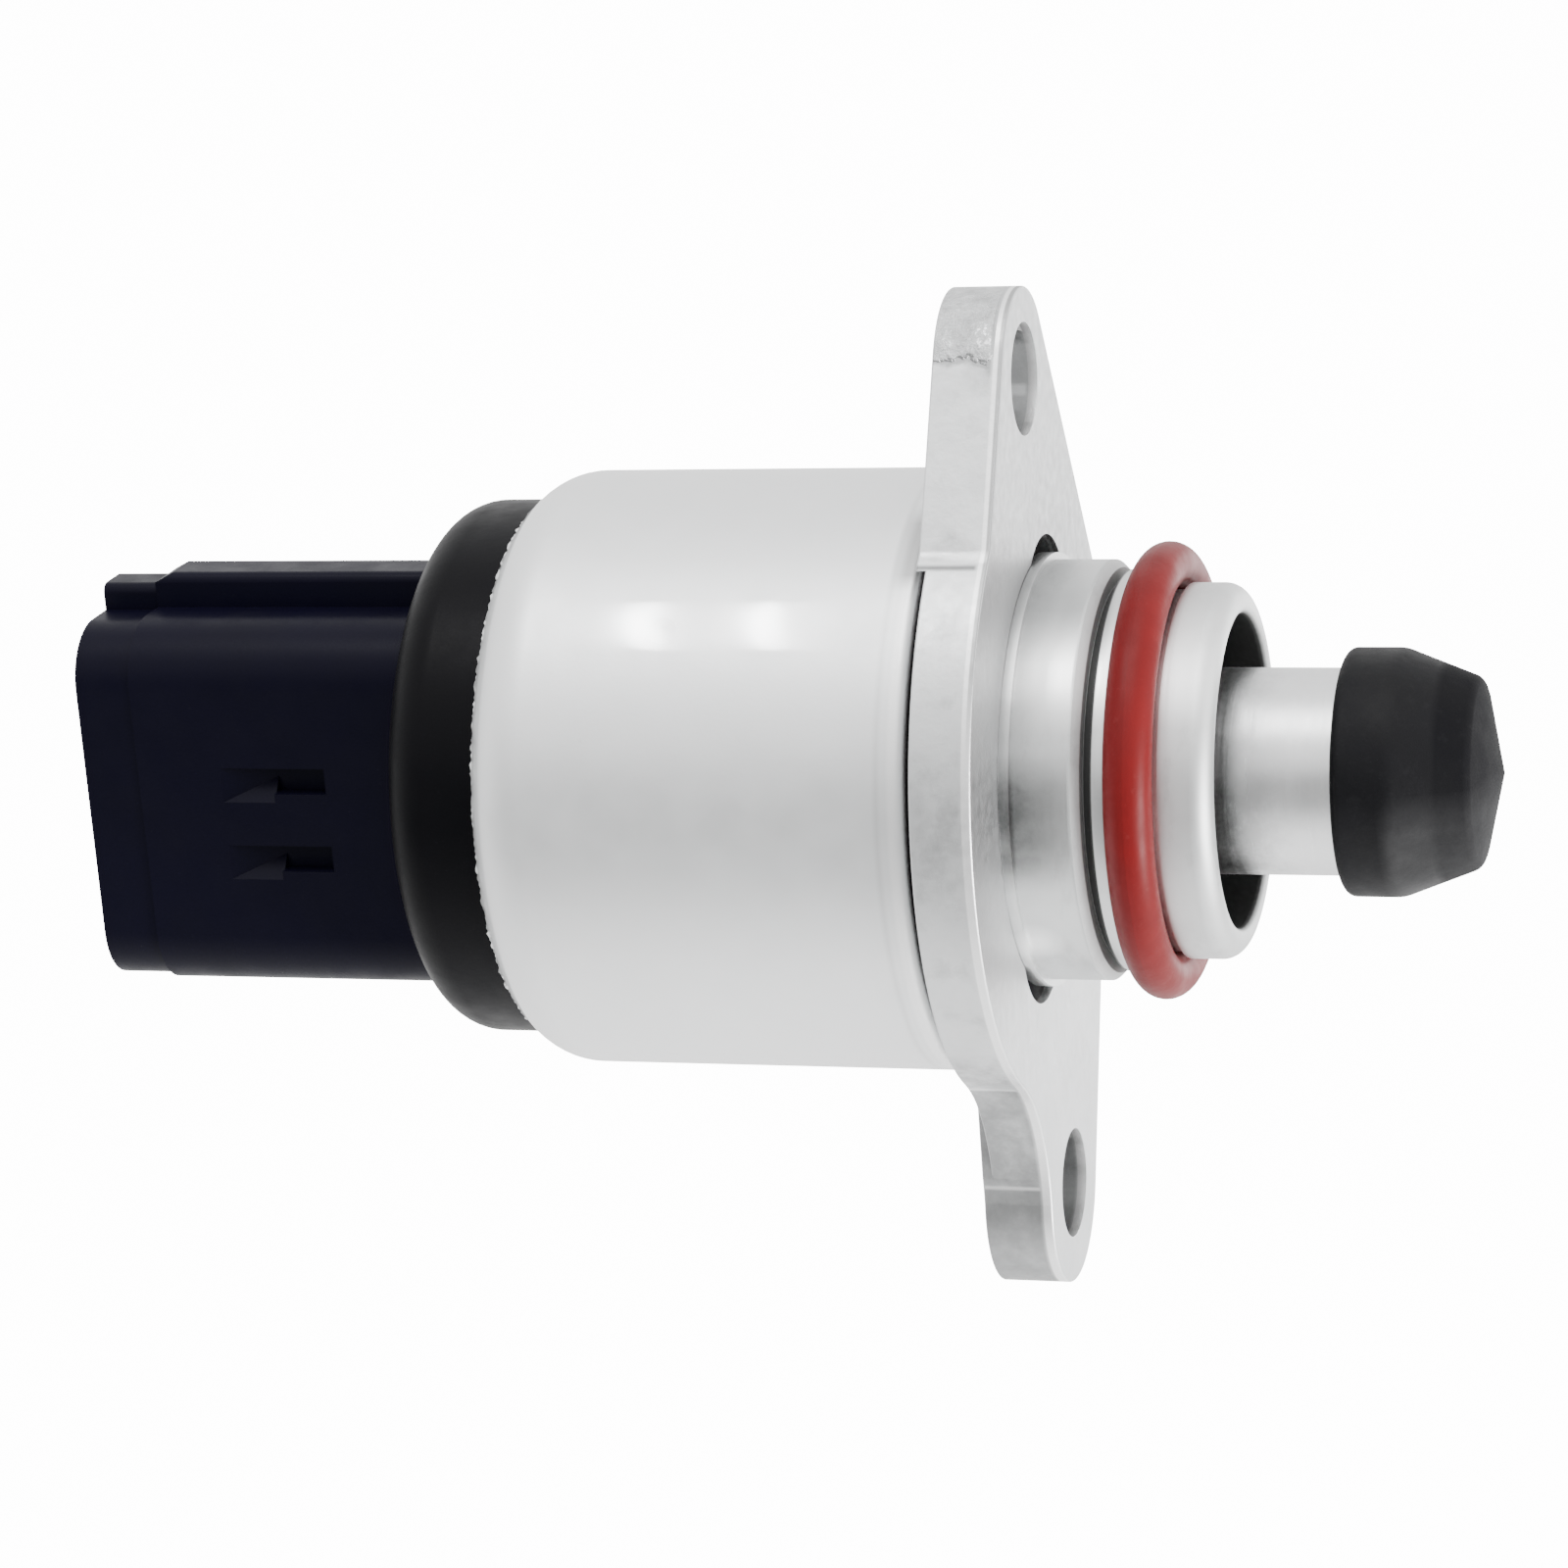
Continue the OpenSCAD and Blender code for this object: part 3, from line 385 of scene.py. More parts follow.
def hole_shading(look, colour, cast, wall):
    """Painted shade on the walls of the bolt holes, and a painted highlight band across the upper one.
    """
    for hole in (UPPER_HOLE, LOWER_HOLE):
        # Painted shade deep inside each hole
        shaded_wall = look.near_line(hole, 2.6 * MM, 2.95 * MM)
        inside = look.window("X", -3.4 * MM, -0.25 * MM, 0.15 * MM)
        colour = look.over(colour, darker(cast, 0.2), shaded_wall, inside, 0.8)
    # Painted highlight across the upper hole's wall
    highlight_band = look.window("Z", *HOLE_HIGHLIGHT, 0.1 * MM)
    in_hole = look.near_line(UPPER_HOLE, 2.85 * MM, 2.95 * MM)
    return look.over(colour, cast, highlight_band, in_hole, wall, 0.8)


def cast_look(finish):
    look = Look("cast_flange")
    cast = finish.cast
    broad = look.grain(260, 5)
    fine = look.grain(1500, 6, 0.6)
    wall = look.times(look.window("X", *PLATE_WALL, 0.1 * MM), look.span(look.sideness(), 0.3, 0.6))
    colour = look.mix(look.span(broad, 0.3, 0.75), cast, darker(cast, 0.88))
    stains = look.span(look.grain(420, 6, 0.65, shift=(3, 1, 2)), 0.52, 0.72)
    colour = look.over(colour, darker(cast, 0.52), stains, wall, 0.6 * finish.wear_and_shading)
    colour, proud = gate_marks(look, colour, cast, wall)
    # The painted shade and painted highlights on the lower wall, the face and the bolt holes
    for shade_pass in (lower_wall_shading, face_shading, hole_shading):
        colour = shade_pass(look, colour, cast, wall)
    rough = look.span(fine, 0.3, 0.7, 0.34, 0.50)
    normal = look.bump(broad, 0.12 * MM, 0.35 * finish.relief)
    normal = look.bump(fine, 0.03 * MM, 0.6 * finish.relief, normal)
    normal = look.bump(proud, 0.22 * MM, 1.0, normal)
    return look.finish(colour, rough, 0.92, normal)


def on_can(station, tilt):
    """The point on the can's wall at a station along the axis, tilt above the near side."""
    return Vector((station, -CAN_RADIUS * math.cos(tilt), CAN_RADIUS * math.sin(tilt)))


def can_look(finish):
    look = Look("plated_can")
    can = finish.can
    cloud = look.span(look.grain(120, 5, 0.6, shift=(1, 4, 2)), 0.35, 0.7)
    specks = look.span(look.pits(520), 0.0, 0.10, 1.0, 0.0)
    few = look.span(look.grain(300, 2, shift=(7, 7, 1)), 0.60, 0.66)
    colour = look.over(can, darker(can, 0.93), cloud, 0.5)
    colour = look.over(colour, darker(can, 0.4), specks, few, 0.45 * finish.wear_and_shading)
    # Painted highlight: a bright band on the can's rounded front edge
    rim = look.window("X", *CAN_RIM, 0.1 * MM)
    colour = look.over(colour, (0.97, 0.97, 0.97), rim, 0.8)
    # Painted shade: a dark line behind that band
    behind_rim = look.window("X", -5.0 * MM, -4.75 * MM, 0.12 * MM)
    colour = look.over(colour, darker(can, 0.55), behind_rim, 0.3)
    # Painted shadow on the can's front under the upper ear
    under_ear = look.times(look.span(look.axis("X"), -5.1 * MM, -4.3 * MM),
                           look.window("Z", 12.0 * MM, 14.3 * MM, 0.3 * MM))
    colour = look.over(colour, darker(can, 0.2), under_ear, 0.7 * finish.wear_and_shading)
    # Painted highlight: a ragged bright line along the can's rear lip
    lip = look.times(look.near_line(0.0, 13.75 * MM, 13.95 * MM),
                     look.span(look.axis("X"), CAN_BACK, CAN_BACK - 0.2 * MM))
    ragged_highlight = look.span(look.grain(1500, 4, 0.6, shift=(4, 4, 0)), 0.38, 0.5)
    colour = look.over(colour, (0.98, 0.98, 0.98), lip, ragged_highlight)
    rough = look.span(look.grain(420, 5, 0.6), 0.3, 0.7, 0.46, 0.54)
    waves = look.grain(75, 3, stretch=(1.6, 1, 1))
    satin = look.grain(5200, 3, 0.5)
    normal = look.bump(waves, 0.25 * MM, 0.12 * finish.relief)
    normal = look.bump(satin, 0.008 * MM, 0.55 * finish.relief, normal)
    for station, tilt in DINGS:
        ding = look.around(on_can(station, tilt), 0.1 * MM, 0.7 * MM)
        normal = look.bump(ding, -0.05 * MM, finish.wear_and_shading, normal)
    look.bsdf.inputs["Coat Weight"].default_value = finish.gloss
    look.bsdf.inputs["Coat Roughness"].default_value = 0.07
    look.bsdf.inputs["Coat IOR"].default_value = 1.7
    return look.finish(colour, rough, 1.0, normal)


def collar_shading(look, colour, finish):
    """Painted shade at the collar's foot and in its upper corner by the flange, and a painted
    highlight band and glint above them.
    """
    turned = finish.turned
    shade_patches = look.span(look.grain(380, 5, 0.62, shift=(6, 3, 2)), 0.3, 0.7, 0.55, 1.0)
    foot = look.span(look.axis("X"), 3.6 * MM, 0.9 * MM)
    stain_and_shade = look.window("Z", -2.2 * MM, 3.0 * MM, 0.9 * MM)
    # Painted shade at the collar's foot, broken up in patches
    colour = look.over(colour, darker(turned, 0.1), foot, stain_and_shade, shade_patches, 0.95 * finish.wear_and_shading)
    # Painted highlight: a bright band and a glint higher up the collar
    highlight_band = look.times(look.window("Z", 5.6 * MM, 8.4 * MM, 1.0 * MM), 0.85)
    glint = look.around(COLLAR_GLINT, 0.3 * MM, 1.5 * MM)
    colour = look.over(colour, (0.95, 0.955, 0.95), look.calc("MAXIMUM", highlight_band, glint))
    # Painted shade in the collar's upper corner by the flange
    corner = look.times(look.span(look.axis("X"), 2.0 * MM, 0.4 * MM),
                        look.span(look.axis("Z"), 1.0 * MM, 6.0 * MM))
    return look.over(colour, darker(turned, 0.3), corner, shade_patches, 0.55 * finish.wear_and_shading)


def turned_look(finish):
    look = Look("turned_metal")
    turned = finish.turned
    rings = look.grain(420, 4, 0.7, stretch=(9, 0.25, 0.25))
    cloud = look.span(look.grain(240, 5, 0.6), 0.35, 0.7)
    stain_and_shade = look.span(look.grain(330, 6, 0.65, stretch=(2, 1, 1), shift=(2, 5, 1)), 0.55, 0.75)
    colour = look.over(turned, darker(turned, 0.84), cloud, 0.6)
    colour = look.over(colour, darker(turned, 0.5), stain_and_shade, 0.35 * finish.wear_and_shading)
    colour = collar_shading(look, colour, finish)
    # Painted shade: the nose's bore painted near black and the groove by the O-ring painted dark, with
    # metallic turned off in both
    bore = look.times(look.near_line(0.0, 7.73 * MM, 7.9 * MM),
                      look.span(look.axis("X"), 4.0 * MM, 4.2 * MM))
    groove = look.window("X", *SEAL_GROOVE, 0.03 * MM)
    colour = look.over(colour, darker(turned, 0.006), bore, 0.985)
    colour = look.over(colour, darker(turned, 0.02), groove, 0.97)
    metal = look.span(look.calc("MAXIMUM", groove, bore), 0.3, 0.7, 1.0, 0.0)
    bevel = look.window("X", 3.3 * MM, SEAL_GROOVE[0], 0.05 * MM)
    edges = look.calc("MAXIMUM", bevel, look.span(look.axis("X"), 7.4 * MM, 7.8 * MM, 0.0, 0.5))
    rough = look.calc("ADD", look.span(rings, 0.3, 0.7, 0.3, 0.37), look.times(edges, 0.4))
    normal = look.bump(rings, 0.012 * MM, 0.12 * finish.relief)
    return look.finish(colour, rough, metal, normal, 0.2)


def stem_look(finish):
    look = Look("bright_stem")
    stem = finish.stem
    rings = look.grain(420, 4, 0.7, stretch=(8, 0.2, 0.2))
    # Dark patches on the stem, stronger towards the bottom and near the nose's mouth
    dark_patches = look.span(look.grain(260, 6, 0.7, stretch=(1.2, 1, 1), shift=(4, 2, 6)), 0.36, 0.58)
    foot = look.span(look.axis("X"), 8.6 * MM, 13.0 * MM, 1.0, 0.15)
    low = look.span(look.axis("Z"), 1.5 * MM, -1.5 * MM, 0.55, 1.0)
    colour = look.over(stem, darker(stem, 0.24), dark_patches, low, foot, 0.9 * finish.wear_and_shading)
    # Darker near the nose's mouth, on the stem's lower part
    dark_by_mouth = look.times(look.span(look.axis("X"), 11.8 * MM, 8.2 * MM),
                       look.window("Z", -4.2 * MM, 0.8 * MM, 0.5 * MM))
    patchy = look.span(look.grain(520, 5, 0.65, shift=(1, 8, 3)), 0.3, 0.6, 0.5, 1.0)
    colour = look.over(colour, darker(stem, 0.12), dark_by_mouth, patchy, 0.9 * finish.wear_and_shading)
    rough = look.span(rings, 0.3, 0.7, 0.26, 0.42)
    normal = look.bump(rings, 0.015 * MM, 0.5 * finish.relief)
    return look.finish(colour, rough, 1.0, normal)


def seal_look(finish):
    look = Look("red_seal")
    cloud = look.span(look.grain(500, 5, 0.6), 0.35, 0.7)
    dust = look.span(look.grain(2600, 4, 0.6), 0.62, 0.75)
    colour = look.over(finish.seal, darker(finish.seal, 0.72), cloud, 0.5)
    colour = look.over(colour, (0.45, 0.12, 0.11), dust, 0.05 * finish.wear_and_shading)
    rough = look.span(cloud, 0.0, 1.0, 0.36, 0.5)
    normal = look.bump(look.grain(3000, 4), 0.01 * MM, 0.6 * finish.relief)
    return look.finish(colour, rough, 0.0, normal, 0.14)


def head_look(finish):
    look = Look("rubber_head")
    along = look.axis("X")
    cloud = look.span(look.grain(300, 6, 0.6), 0.4, 0.7)
    dust = look.span(look.grain(1400, 5, 0.7, shift=(2, 2, 2)), 0.55, 0.75)
    colour = look.over(finish.head, darker(finish.head, 1.9), cloud, 0.6)
    colour = look.over(colour, (0.06, 0.06, 0.062), dust, 0.05 * finish.wear_and_shading)
    # Painted light: the head's lower side lighter, standing in for the pale floor's reflection
    low = look.span(look.axis("Z"), 0.6 * MM, -1.4 * MM)
    patchy = look.span(look.grain(420, 5, 0.6, shift=(1, 2, 8)), 0.3, 0.65, 0.5, 1.0)
    taper = look.span(along, 17.2 * MM, 17.8 * MM, 0.12, 1.0)
    colour = look.over(colour, (0.030, 0.030, 0.031), low, patchy, taper, 0.9 * finish.wear_and_shading)
    tip = look.span(along, 19.6 * MM, 20.0 * MM)
    rough = look.calc("ADD", look.span(cloud, 0.0, 1.0, 0.5, 0.66), look.times(tip, 0.28))
    normal = look.bump(look.grain(1700, 5, 0.6), 0.03 * MM, 0.6 * finish.relief)
    return look.finish(colour, rough, 0.0, normal, 0.14)


def socket_look(finish):
    look = Look("moulded_socket")
    ring = look.span(look.axis("X"), -31.2 * MM, -30.4 * MM)
    cloud = look.span(look.grain(180, 5, 0.6), 0.4, 0.7)
    dust = look.span(look.grain(2300, 4, 0.65, shift=(1, 1, 5)), 0.66, 0.78)
    colour = look.mix(ring, finish.socket, finish.shoulder)
    colour = look.over(colour, (0.003, 0.003, 0.005), cloud, 0.25)
    colour = look.over(colour, (0.03, 0.03, 0.035), dust, 0.10 * finish.wear_and_shading)
    rough = look.span(look.grain(600, 4, 0.6), 0.3, 0.7, 0.34, 0.46)
    normal = look.bump(look.grain(150, 3), 0.08 * MM, 0.2 * finish.relief)
    normal = look.bump(look.grain(3200, 4), 0.008 * MM, 0.6 * finish.relief, normal)
    return look.finish(colour, rough, 0.0, normal, 0.07)


def plain_look(name, colour, rough, metallic, scale, stretch=(1, 1, 1), specular=0.4):
    """The finish of a piece that is mostly hidden: mottled colour, uneven sheen and fine relief."""
    look = Look(name)
    cloud = look.span(look.grain(300, 5, 0.6), 0.35, 0.7)
    fine = look.grain(scale, 4, 0.6, stretch=stretch)
    tone = look.over(colour, darker(colour, 0.75), cloud, 0.6)
    sheen = look.span(fine, 0.3, 0.7, rough - 0.07, rough + 0.07)
    normal = look.bump(fine, 0.02 * MM, 0.5)
    return look.finish(tone, sheen, metallic, normal, specular)


# Shapes

def from_axis(p, height=0.0):
    """How far a point lies from a line along X at a height over the axis."""
    return math.hypot(p.y, p.z - height)


def middle(edge):
    return (edge.verts[0].co + edge.verts[1].co) / 2


def sharp_edges(bm, angle=SHARP):
    return [e for e in bm.edges
            if len(e.link_faces) == 2 and e.is_convex and e.calc_face_angle(0.0) > angle]


def clean_copy(node):
    """A bmesh of a CAD node with its triangles joined into flat faces."""
    bm = bmesh.new()
    bm.from_mesh(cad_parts[node].data)
    bmesh.ops.remove_doubles(bm, verts=bm.verts, dist=0.001 * MM)
    bmesh.ops.dissolve_limit(bm, angle_limit=math.radians(0.4), verts=bm.verts, edges=bm.edges)
    return bm


def bevel(bm, edges, width, steps):
    bmesh.ops.bevel(bm, geom=edges, offset=width, segments=steps, profile=0.5,
                    affect="EDGES", clamp_overlap=True)


def round_edges(bm, width, steps, keep=None, angle=SHARP):
    """Rounds the sharp edges that keep accepts by their middle point."""
    chosen = [e for e in sharp_edges(bm, angle) if keep is None or keep(middle(e))]
    bevel(bm, chosen, width, steps)


def piece(bm, name, body, material, slot, *nodes):
    """Turns a bmesh into a finished piece that stands for CAD nodes."""
    for face in bm.faces:
        face.smooth = True
    for edge in bm.edges:
        edge.smooth = len(edge.link_faces) != 2 or edge.calc_face_angle(0.0) < CRISP
    rough_mesh = bpy.data.meshes.new(name + "_draft")
    bm.to_mesh(rough_mesh)
    bm.free()
    draft = bpy.data.objects.new(name + "_draft", rough_mesh)
    bpy.context.collection.objects.link(draft)
    even = draft.modifiers.new("even_normals", "WEIGHTED_NORMAL")
    even.keep_sharp = True
    graph = bpy.context.evaluated_depsgraph_get()
    mesh = bpy.data.meshes.new_from_object(draft.evaluated_get(graph), depsgraph=graph)
    mesh.name = name
    bpy.data.objects.remove(draft)
    obj = bpy.data.objects.new(name, mesh)
    bpy.context.collection.objects.link(obj)
    mesh.materials.clear()
    mesh.materials.append(material)
    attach(obj, body)
    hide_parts(*nodes)
    return obj


def paint(material, *nodes):
    """Gives CAD nodes a material and leaves their meshes alone."""
    for node in nodes:
        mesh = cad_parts[node].data
        mesh.materials.clear()
        mesh.materials.append(material)


# Operators

class VALVE_OT_flange(bpy.types.Operator):
    """Builds the cast flange plate with rounded edges"""
    bl_idname = "valve.flange"
    bl_label = "Flange plate"

    def execute(self, context):
        shape, finish, _ = settings()
        bm = clean_copy("flange_plate")
        _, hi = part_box("flange_plate")
        pilot_reach, bore_reach, hole_reach = 12.6 * MM, 10.6 * MM, 3.2 * MM

        def at_face(p):
            return p.x > hi[0] - AT_FACE or EAR_BACK[0] < p.x < EAR_BACK[1]

        def outline(p):
            from_hole = min(from_axis(p, hole) for hole in (UPPER_HOLE, LOWER_HOLE))
            return at_face(p) and from_axis(p) > pilot_reach and from_hole > hole_reach

        def rims(p):
            return at_face(p) and not outline(p) and from_axis(p) > bore_reach

        round_edges(bm, shape.flange_round, shape.round_steps, outline)
        round_edges(bm, shape.hole_round, 2, rims)
        piece(bm, "flange", "housing", cast_look(finish), "flange_metal", "flange_plate")
        return {"FINISHED"}


class VALVE_OT_can(bpy.types.Operator):
    """Builds the drawn can with its ragged rear lip, and the gasket in front of it"""
    bl_idname = "valve.can"
    bl_label = "Can and gasket"

    def execute(self, context):
        shape, finish, _ = settings()
        bm = clean_copy("can_shell")
        lo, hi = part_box("can_shell")

        wall_reach, lip_reach, front_strip, lip_strip = 14.8 * MM, 13.8 * MM, 0.7 * MM, 0.12 * MM
        longest, grain = 0.5 * MM, 2600.0

        def front(p):
            return p.x > hi[0] - AT_FACE and from_axis(p) > wall_reach

        round_edges(bm, shape.can_round, 4, front)
        round_edges(bm, shape.turned_round, 2, lambda p: p.x <= hi[0] - front_strip)

        def on_lip(v):
            return v.co.x < lo[0] + lip_strip and from_axis(v.co) < lip_reach

        rim = [e for e in bm.edges if on_lip(e.verts[0]) and on_lip(e.verts[1])]
        bmesh.ops.subdivide_edges(bm, edges=[e for e in rim if e.calc_length() > longest], cuts=4)
        for v in bm.verts:
            if on_lip(v):
                v.co.x -= abs(noise.noise(v.co * grain)) * shape.lip_ragged * 2.0
        piece(bm, "can", "housing", can_look(finish), "can_steel", "can_shell")
        packing = plain_look("black_packing", (0.002, 0.002, 0.002), 0.8, 0.0, 1500, specular=0.1)
        paint(packing, "can_gasket")
        return {"FINISHED"}


class VALVE_OT_nose(bpy.types.Operator):
    """Builds the turned collar and nose, the red O-ring and the guide bush"""
    bl_idname = "valve.nose"
    bl_label = "Nose, O-ring and guide bush"

    def execute(self, context):
        shape, finish, _ = settings()
        bm = clean_copy("nose_collar")
        round_edges(bm, shape.turned_round, 2)
        piece(bm, "nose", "housing", turned_look(finish), "collar_metal", "nose_collar")
        paint(seal_look(finish), "o_ring")
        bm = clean_copy("guide_bush")
        round_edges(bm, shape.turned_round, 2)
        bush = plain_look("guide_bush_plastic", (0.0016, 0.0016, 0.002), 0.6, 0.0, 1200,
                          specular=0.08)
        piece(bm, "guide", "housing", bush, "bush_plastic", "guide_bush")
        return {"FINISHED"}


class VALVE_OT_pintle(bpy.types.Operator):
    """Builds the stem and the rubber head"""
    bl_idname = "valve.pintle"
    bl_label = "Pintle"

    def execute(self, context):
        shape, finish, _ = settings()
        bm = clean_copy("pintle_head")
        tip_reach, blunt = 4.4 * MM, math.radians(12)
        round_edges(bm, shape.rubber_round, shape.round_steps,
                    lambda p: from_axis(p) > tip_reach and p.x > HEAD_BACK, blunt)
        piece(bm, "head", "pintle", head_look(finish), "head_rubber", "pintle_head")
        bm = clean_copy("pintle_stem")
        round_edges(bm, shape.turned_round, 2)
        piece(bm, "stem", "pintle", stem_look(finish), "stem_metal", "pintle_stem")
        return {"FINISHED"}


class VALVE_OT_socket(bpy.types.Operator):
    """Builds the moulded plug socket and its terminals"""
    bl_idname = "valve.socket"
    bl_label = "Plug socket and terminals"

    def execute(self, context):
        shape, finish, _ = settings()
        bm = clean_copy("connector_housing")
        lo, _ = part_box("connector_housing")
        mouth_end, step_strip = lo[0] + 0.05 * MM, 0.3 * MM
        end = [v.co for v in bm.verts if v.co.x < mouth_end]
        centre = sum(end, Vector()) / len(end)

        def on_mouth(edge):
            outward = (middle(edge) - centre).normalized()
            facing = max(f.normal.dot(outward) for f in edge.link_faces)
            return middle(edge).x < mouth_end and facing > 0.3

        bevel(bm, [e for e in sharp_edges(bm) if on_mouth(e)], shape.mouth_round, 4)
        round_edges(bm, shape.moulded_round, 3,
                    lambda p: p.x < SOCKET_FRONT and abs(p.x - SHROUD_STEP) > step_strip)
        piece(bm, "socket", "housing", socket_look(finish), "connector_plastic", "connector_housing")
        tin = plain_look("tinned_brass", (0.62, 0.60, 0.54), 0.3, 1.0, 900)
        paint(tin, "terminal_pin_1", "terminal_pin_2", "terminal_pin_3", "terminal_pin_4")
        return {"FINISHED"}


def thread_group(material):
    """Geometry Nodes that wind a thread round a core along +X."""
    group = bpy.data.node_groups.new("wound_thread", "GeometryNodeTree")
    face = group.interface
    face.new_socket("Geometry", in_out="INPUT", socket_type="NodeSocketGeometry")
    sizes = {"Core radius": 2.0 * MM, "Crest radius": 2.5 * MM, "Length": 20.0 * MM, "Pitch": 1.0 * MM}
    for name, default in sizes.items():
        socket = face.new_socket(name, in_out="INPUT", socket_type="NodeSocketFloat")
        socket.default_value = default
    face.new_socket("Geometry", in_out="OUTPUT", socket_type="NodeSocketGeometry")
    nodes, links = group.nodes, group.links
    start = nodes.new("NodeGroupInput")
    end = nodes.new("NodeGroupOutput")

    turns = calc(group, "DIVIDE", start.outputs["Length"], start.outputs["Pitch"])
    depth = calc(group, "SUBTRACT", start.outputs["Crest radius"], start.outputs["Core radius"])
    spiral = nodes.new("GeometryNodeCurveSpiral")
    spiral.inputs["Resolution"].default_value = 40
    links.new(turns, spiral.inputs["Rotations"])
    links.new(start.outputs["Core radius"], spiral.inputs["Start Radius"])
    links.new(start.outputs["Core radius"], spiral.inputs["End Radius"])
    links.new(start.outputs["Length"], spiral.inputs["Height"])
    profile = nodes.new("GeometryNodeCurvePrimitiveCircle")
    profile.inputs["Resolution"].default_value = 6
    links.new(depth, profile.inputs["Radius"])
    tube = nodes.new("GeometryNodeCurveToMesh")
    tube.inputs["Fill Caps"].default_value = True
    links.new(spiral.outputs["Curve"], tube.inputs["Curve"])
    links.new(profile.outputs["Curve"], tube.inputs["Profile Curve"])
    core = nodes.new("GeometryNodeMeshCylinder")
    core.inputs["Vertices"].default_value = 48
    links.new(start.outputs["Core radius"], core.inputs["Radius"])
    links.new(start.outputs["Length"], core.inputs["Depth"])
    lift = nodes.new("GeometryNodeTransform")
    shift = nodes.new("ShaderNodeCombineXYZ")
    links.new(calc(group, "MULTIPLY", start.outputs["Length"], 0.5), shift.inputs["Z"])
    links.new(shift.outputs["Vector"], lift.inputs["Translation"])
    links.new(core.outputs["Mesh"], lift.inputs["Geometry"])
    join = nodes.new("GeometryNodeJoinGeometry")
    links.new(tube.outputs["Mesh"], join.inputs["Geometry"])
    links.new(lift.outputs["Geometry"], join.inputs["Geometry"])
    real = nodes.new("GeometryNodeRealizeInstances")
    paint_it = nodes.new("GeometryNodeSetMaterial")
    paint_it.inputs["Material"].default_value = material
    links.new(join.outputs["Geometry"], real.inputs["Geometry"])
    links.new(real.outputs["Geometry"], paint_it.inputs["Geometry"])
    links.new(paint_it.outputs["Geometry"], end.inputs["Geometry"])
    return group


class VALVE_OT_screw(bpy.types.Operator):
    """Winds the thread of the lead screw"""
    bl_idname = "valve.screw"
    bl_label = "Lead screw thread"

    def execute(self, context):
        shape, _, _ = settings()
        steel = plain_look("screw_steel", (0.55, 0.56, 0.58), 0.28, 1.0, 900)
        lo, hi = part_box("lead_screw")
        stem_lo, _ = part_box("pintle_stem")
        crest = (hi[2] - lo[2]) / 2
        reach = stem_lo[0] - lo[0]
        end_gap = 0.25 * MM
        mesh = bpy.data.meshes.new("thread_draft")
        draft = bpy.data.objects.new("thread_draft", mesh)
        context.collection.objects.link(draft)
        mod = draft.modifiers.new("thread", "NODES")
        mod.node_group = thread_group(steel)
        wanted = {"Core radius": crest - shape.thread_depth, "Crest radius": crest,
                  "Length": reach - 2 * end_gap, "Pitch": shape.thread_pitch}
        for item in mod.node_group.interface.items_tree:
            if item.item_type == "SOCKET" and item.in_out == "INPUT" and item.name in wanted:
                mod[item.identifier] = wanted[item.name]
        graph = context.evaluated_depsgraph_get()
        result = bpy.data.meshes.new_from_object(draft.evaluated_get(graph), depsgraph=graph)
        bpy.data.objects.remove(draft)
        lay = Matrix.Rotation(math.pi / 2, 4, "Y")
        result.transform(Matrix.Translation((lo[0] + end_gap, 0, 0)) @ lay)
        result.name = "screw"
        for polygon in result.polygons:
            polygon.use_smooth = False
        obj = bpy.data.objects.new("screw", result)
        context.collection.objects.link(obj)
        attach(obj, "pintle")
        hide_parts("lead_screw")
        return {"FINISHED"}


class VALVE_OT_motor(bpy.types.Operator):
    """Gives the motor's inner pieces their finishes"""
    bl_idname = "valve.motor"
    bl_label = "Motor pieces"

    def execute(self, context):
        bearing = plain_look("bearing_steel", (0.62, 0.63, 0.65), 0.2, 1.0, 1500)
        paint(bearing, "front_spring_washer", "front_bearing_outer_race", "front_bearing_inner_race",
              "front_bearing_balls")
        bronze = plain_look("bearing_bronze", (0.55, 0.36, 0.17), 0.35, 1.0, 900)
        paint(bronze, "front_bearing_cage", "thrust_washer", "rear_bearing_bush")
        paint(plain_look("nut_plastic", (0.66, 0.63, 0.54), 0.5, 0.0, 900), "rotor_nut")
        paint(plain_look("ferrite", (0.035, 0.035, 0.038), 0.6, 0.1, 2200), "rotor_magnet")
        sheet = plain_look("stator_sheet", (0.42, 0.44, 0.47), 0.34, 1.0, 500, (4, 1, 1))
        paint(sheet, "stator_cup_front", "stator_plate_front", "stator_cup_rear", "stator_plate_rear")
        paint(plain_look("bobbin_plastic", (0.75, 0.70, 0.56), 0.5, 0.0, 900),
              "bobbin_front", "bobbin_rear")
        wire = plain_look("wound_wire", (0.50, 0.19, 0.06), 0.3, 1.0, 260, (20, 0.3, 0.3))
        paint(wire, "coil_front", "coil_rear")
        paint(plain_look("seal_rubber", (0.02, 0.02, 0.02), 0.6, 0.0, 1500), "rear_seal_ring")
        return {"FINISHED"}


def camera_axes(stage):
    """The camera's right, up and back directions from its three angles."""
    a, e, r = stage.azimuth, stage.elevation, stage.roll
    back = Vector((math.sin(a) * math.cos(e), -math.cos(a) * math.cos(e), math.sin(e)))
    level = Vector((math.cos(a), math.sin(a), 0))
    rise = back.cross(level)
    right = math.cos(r) * level + math.sin(r) * rise
    up = -math.sin(r) * level + math.cos(r) * rise
    return right, up, back


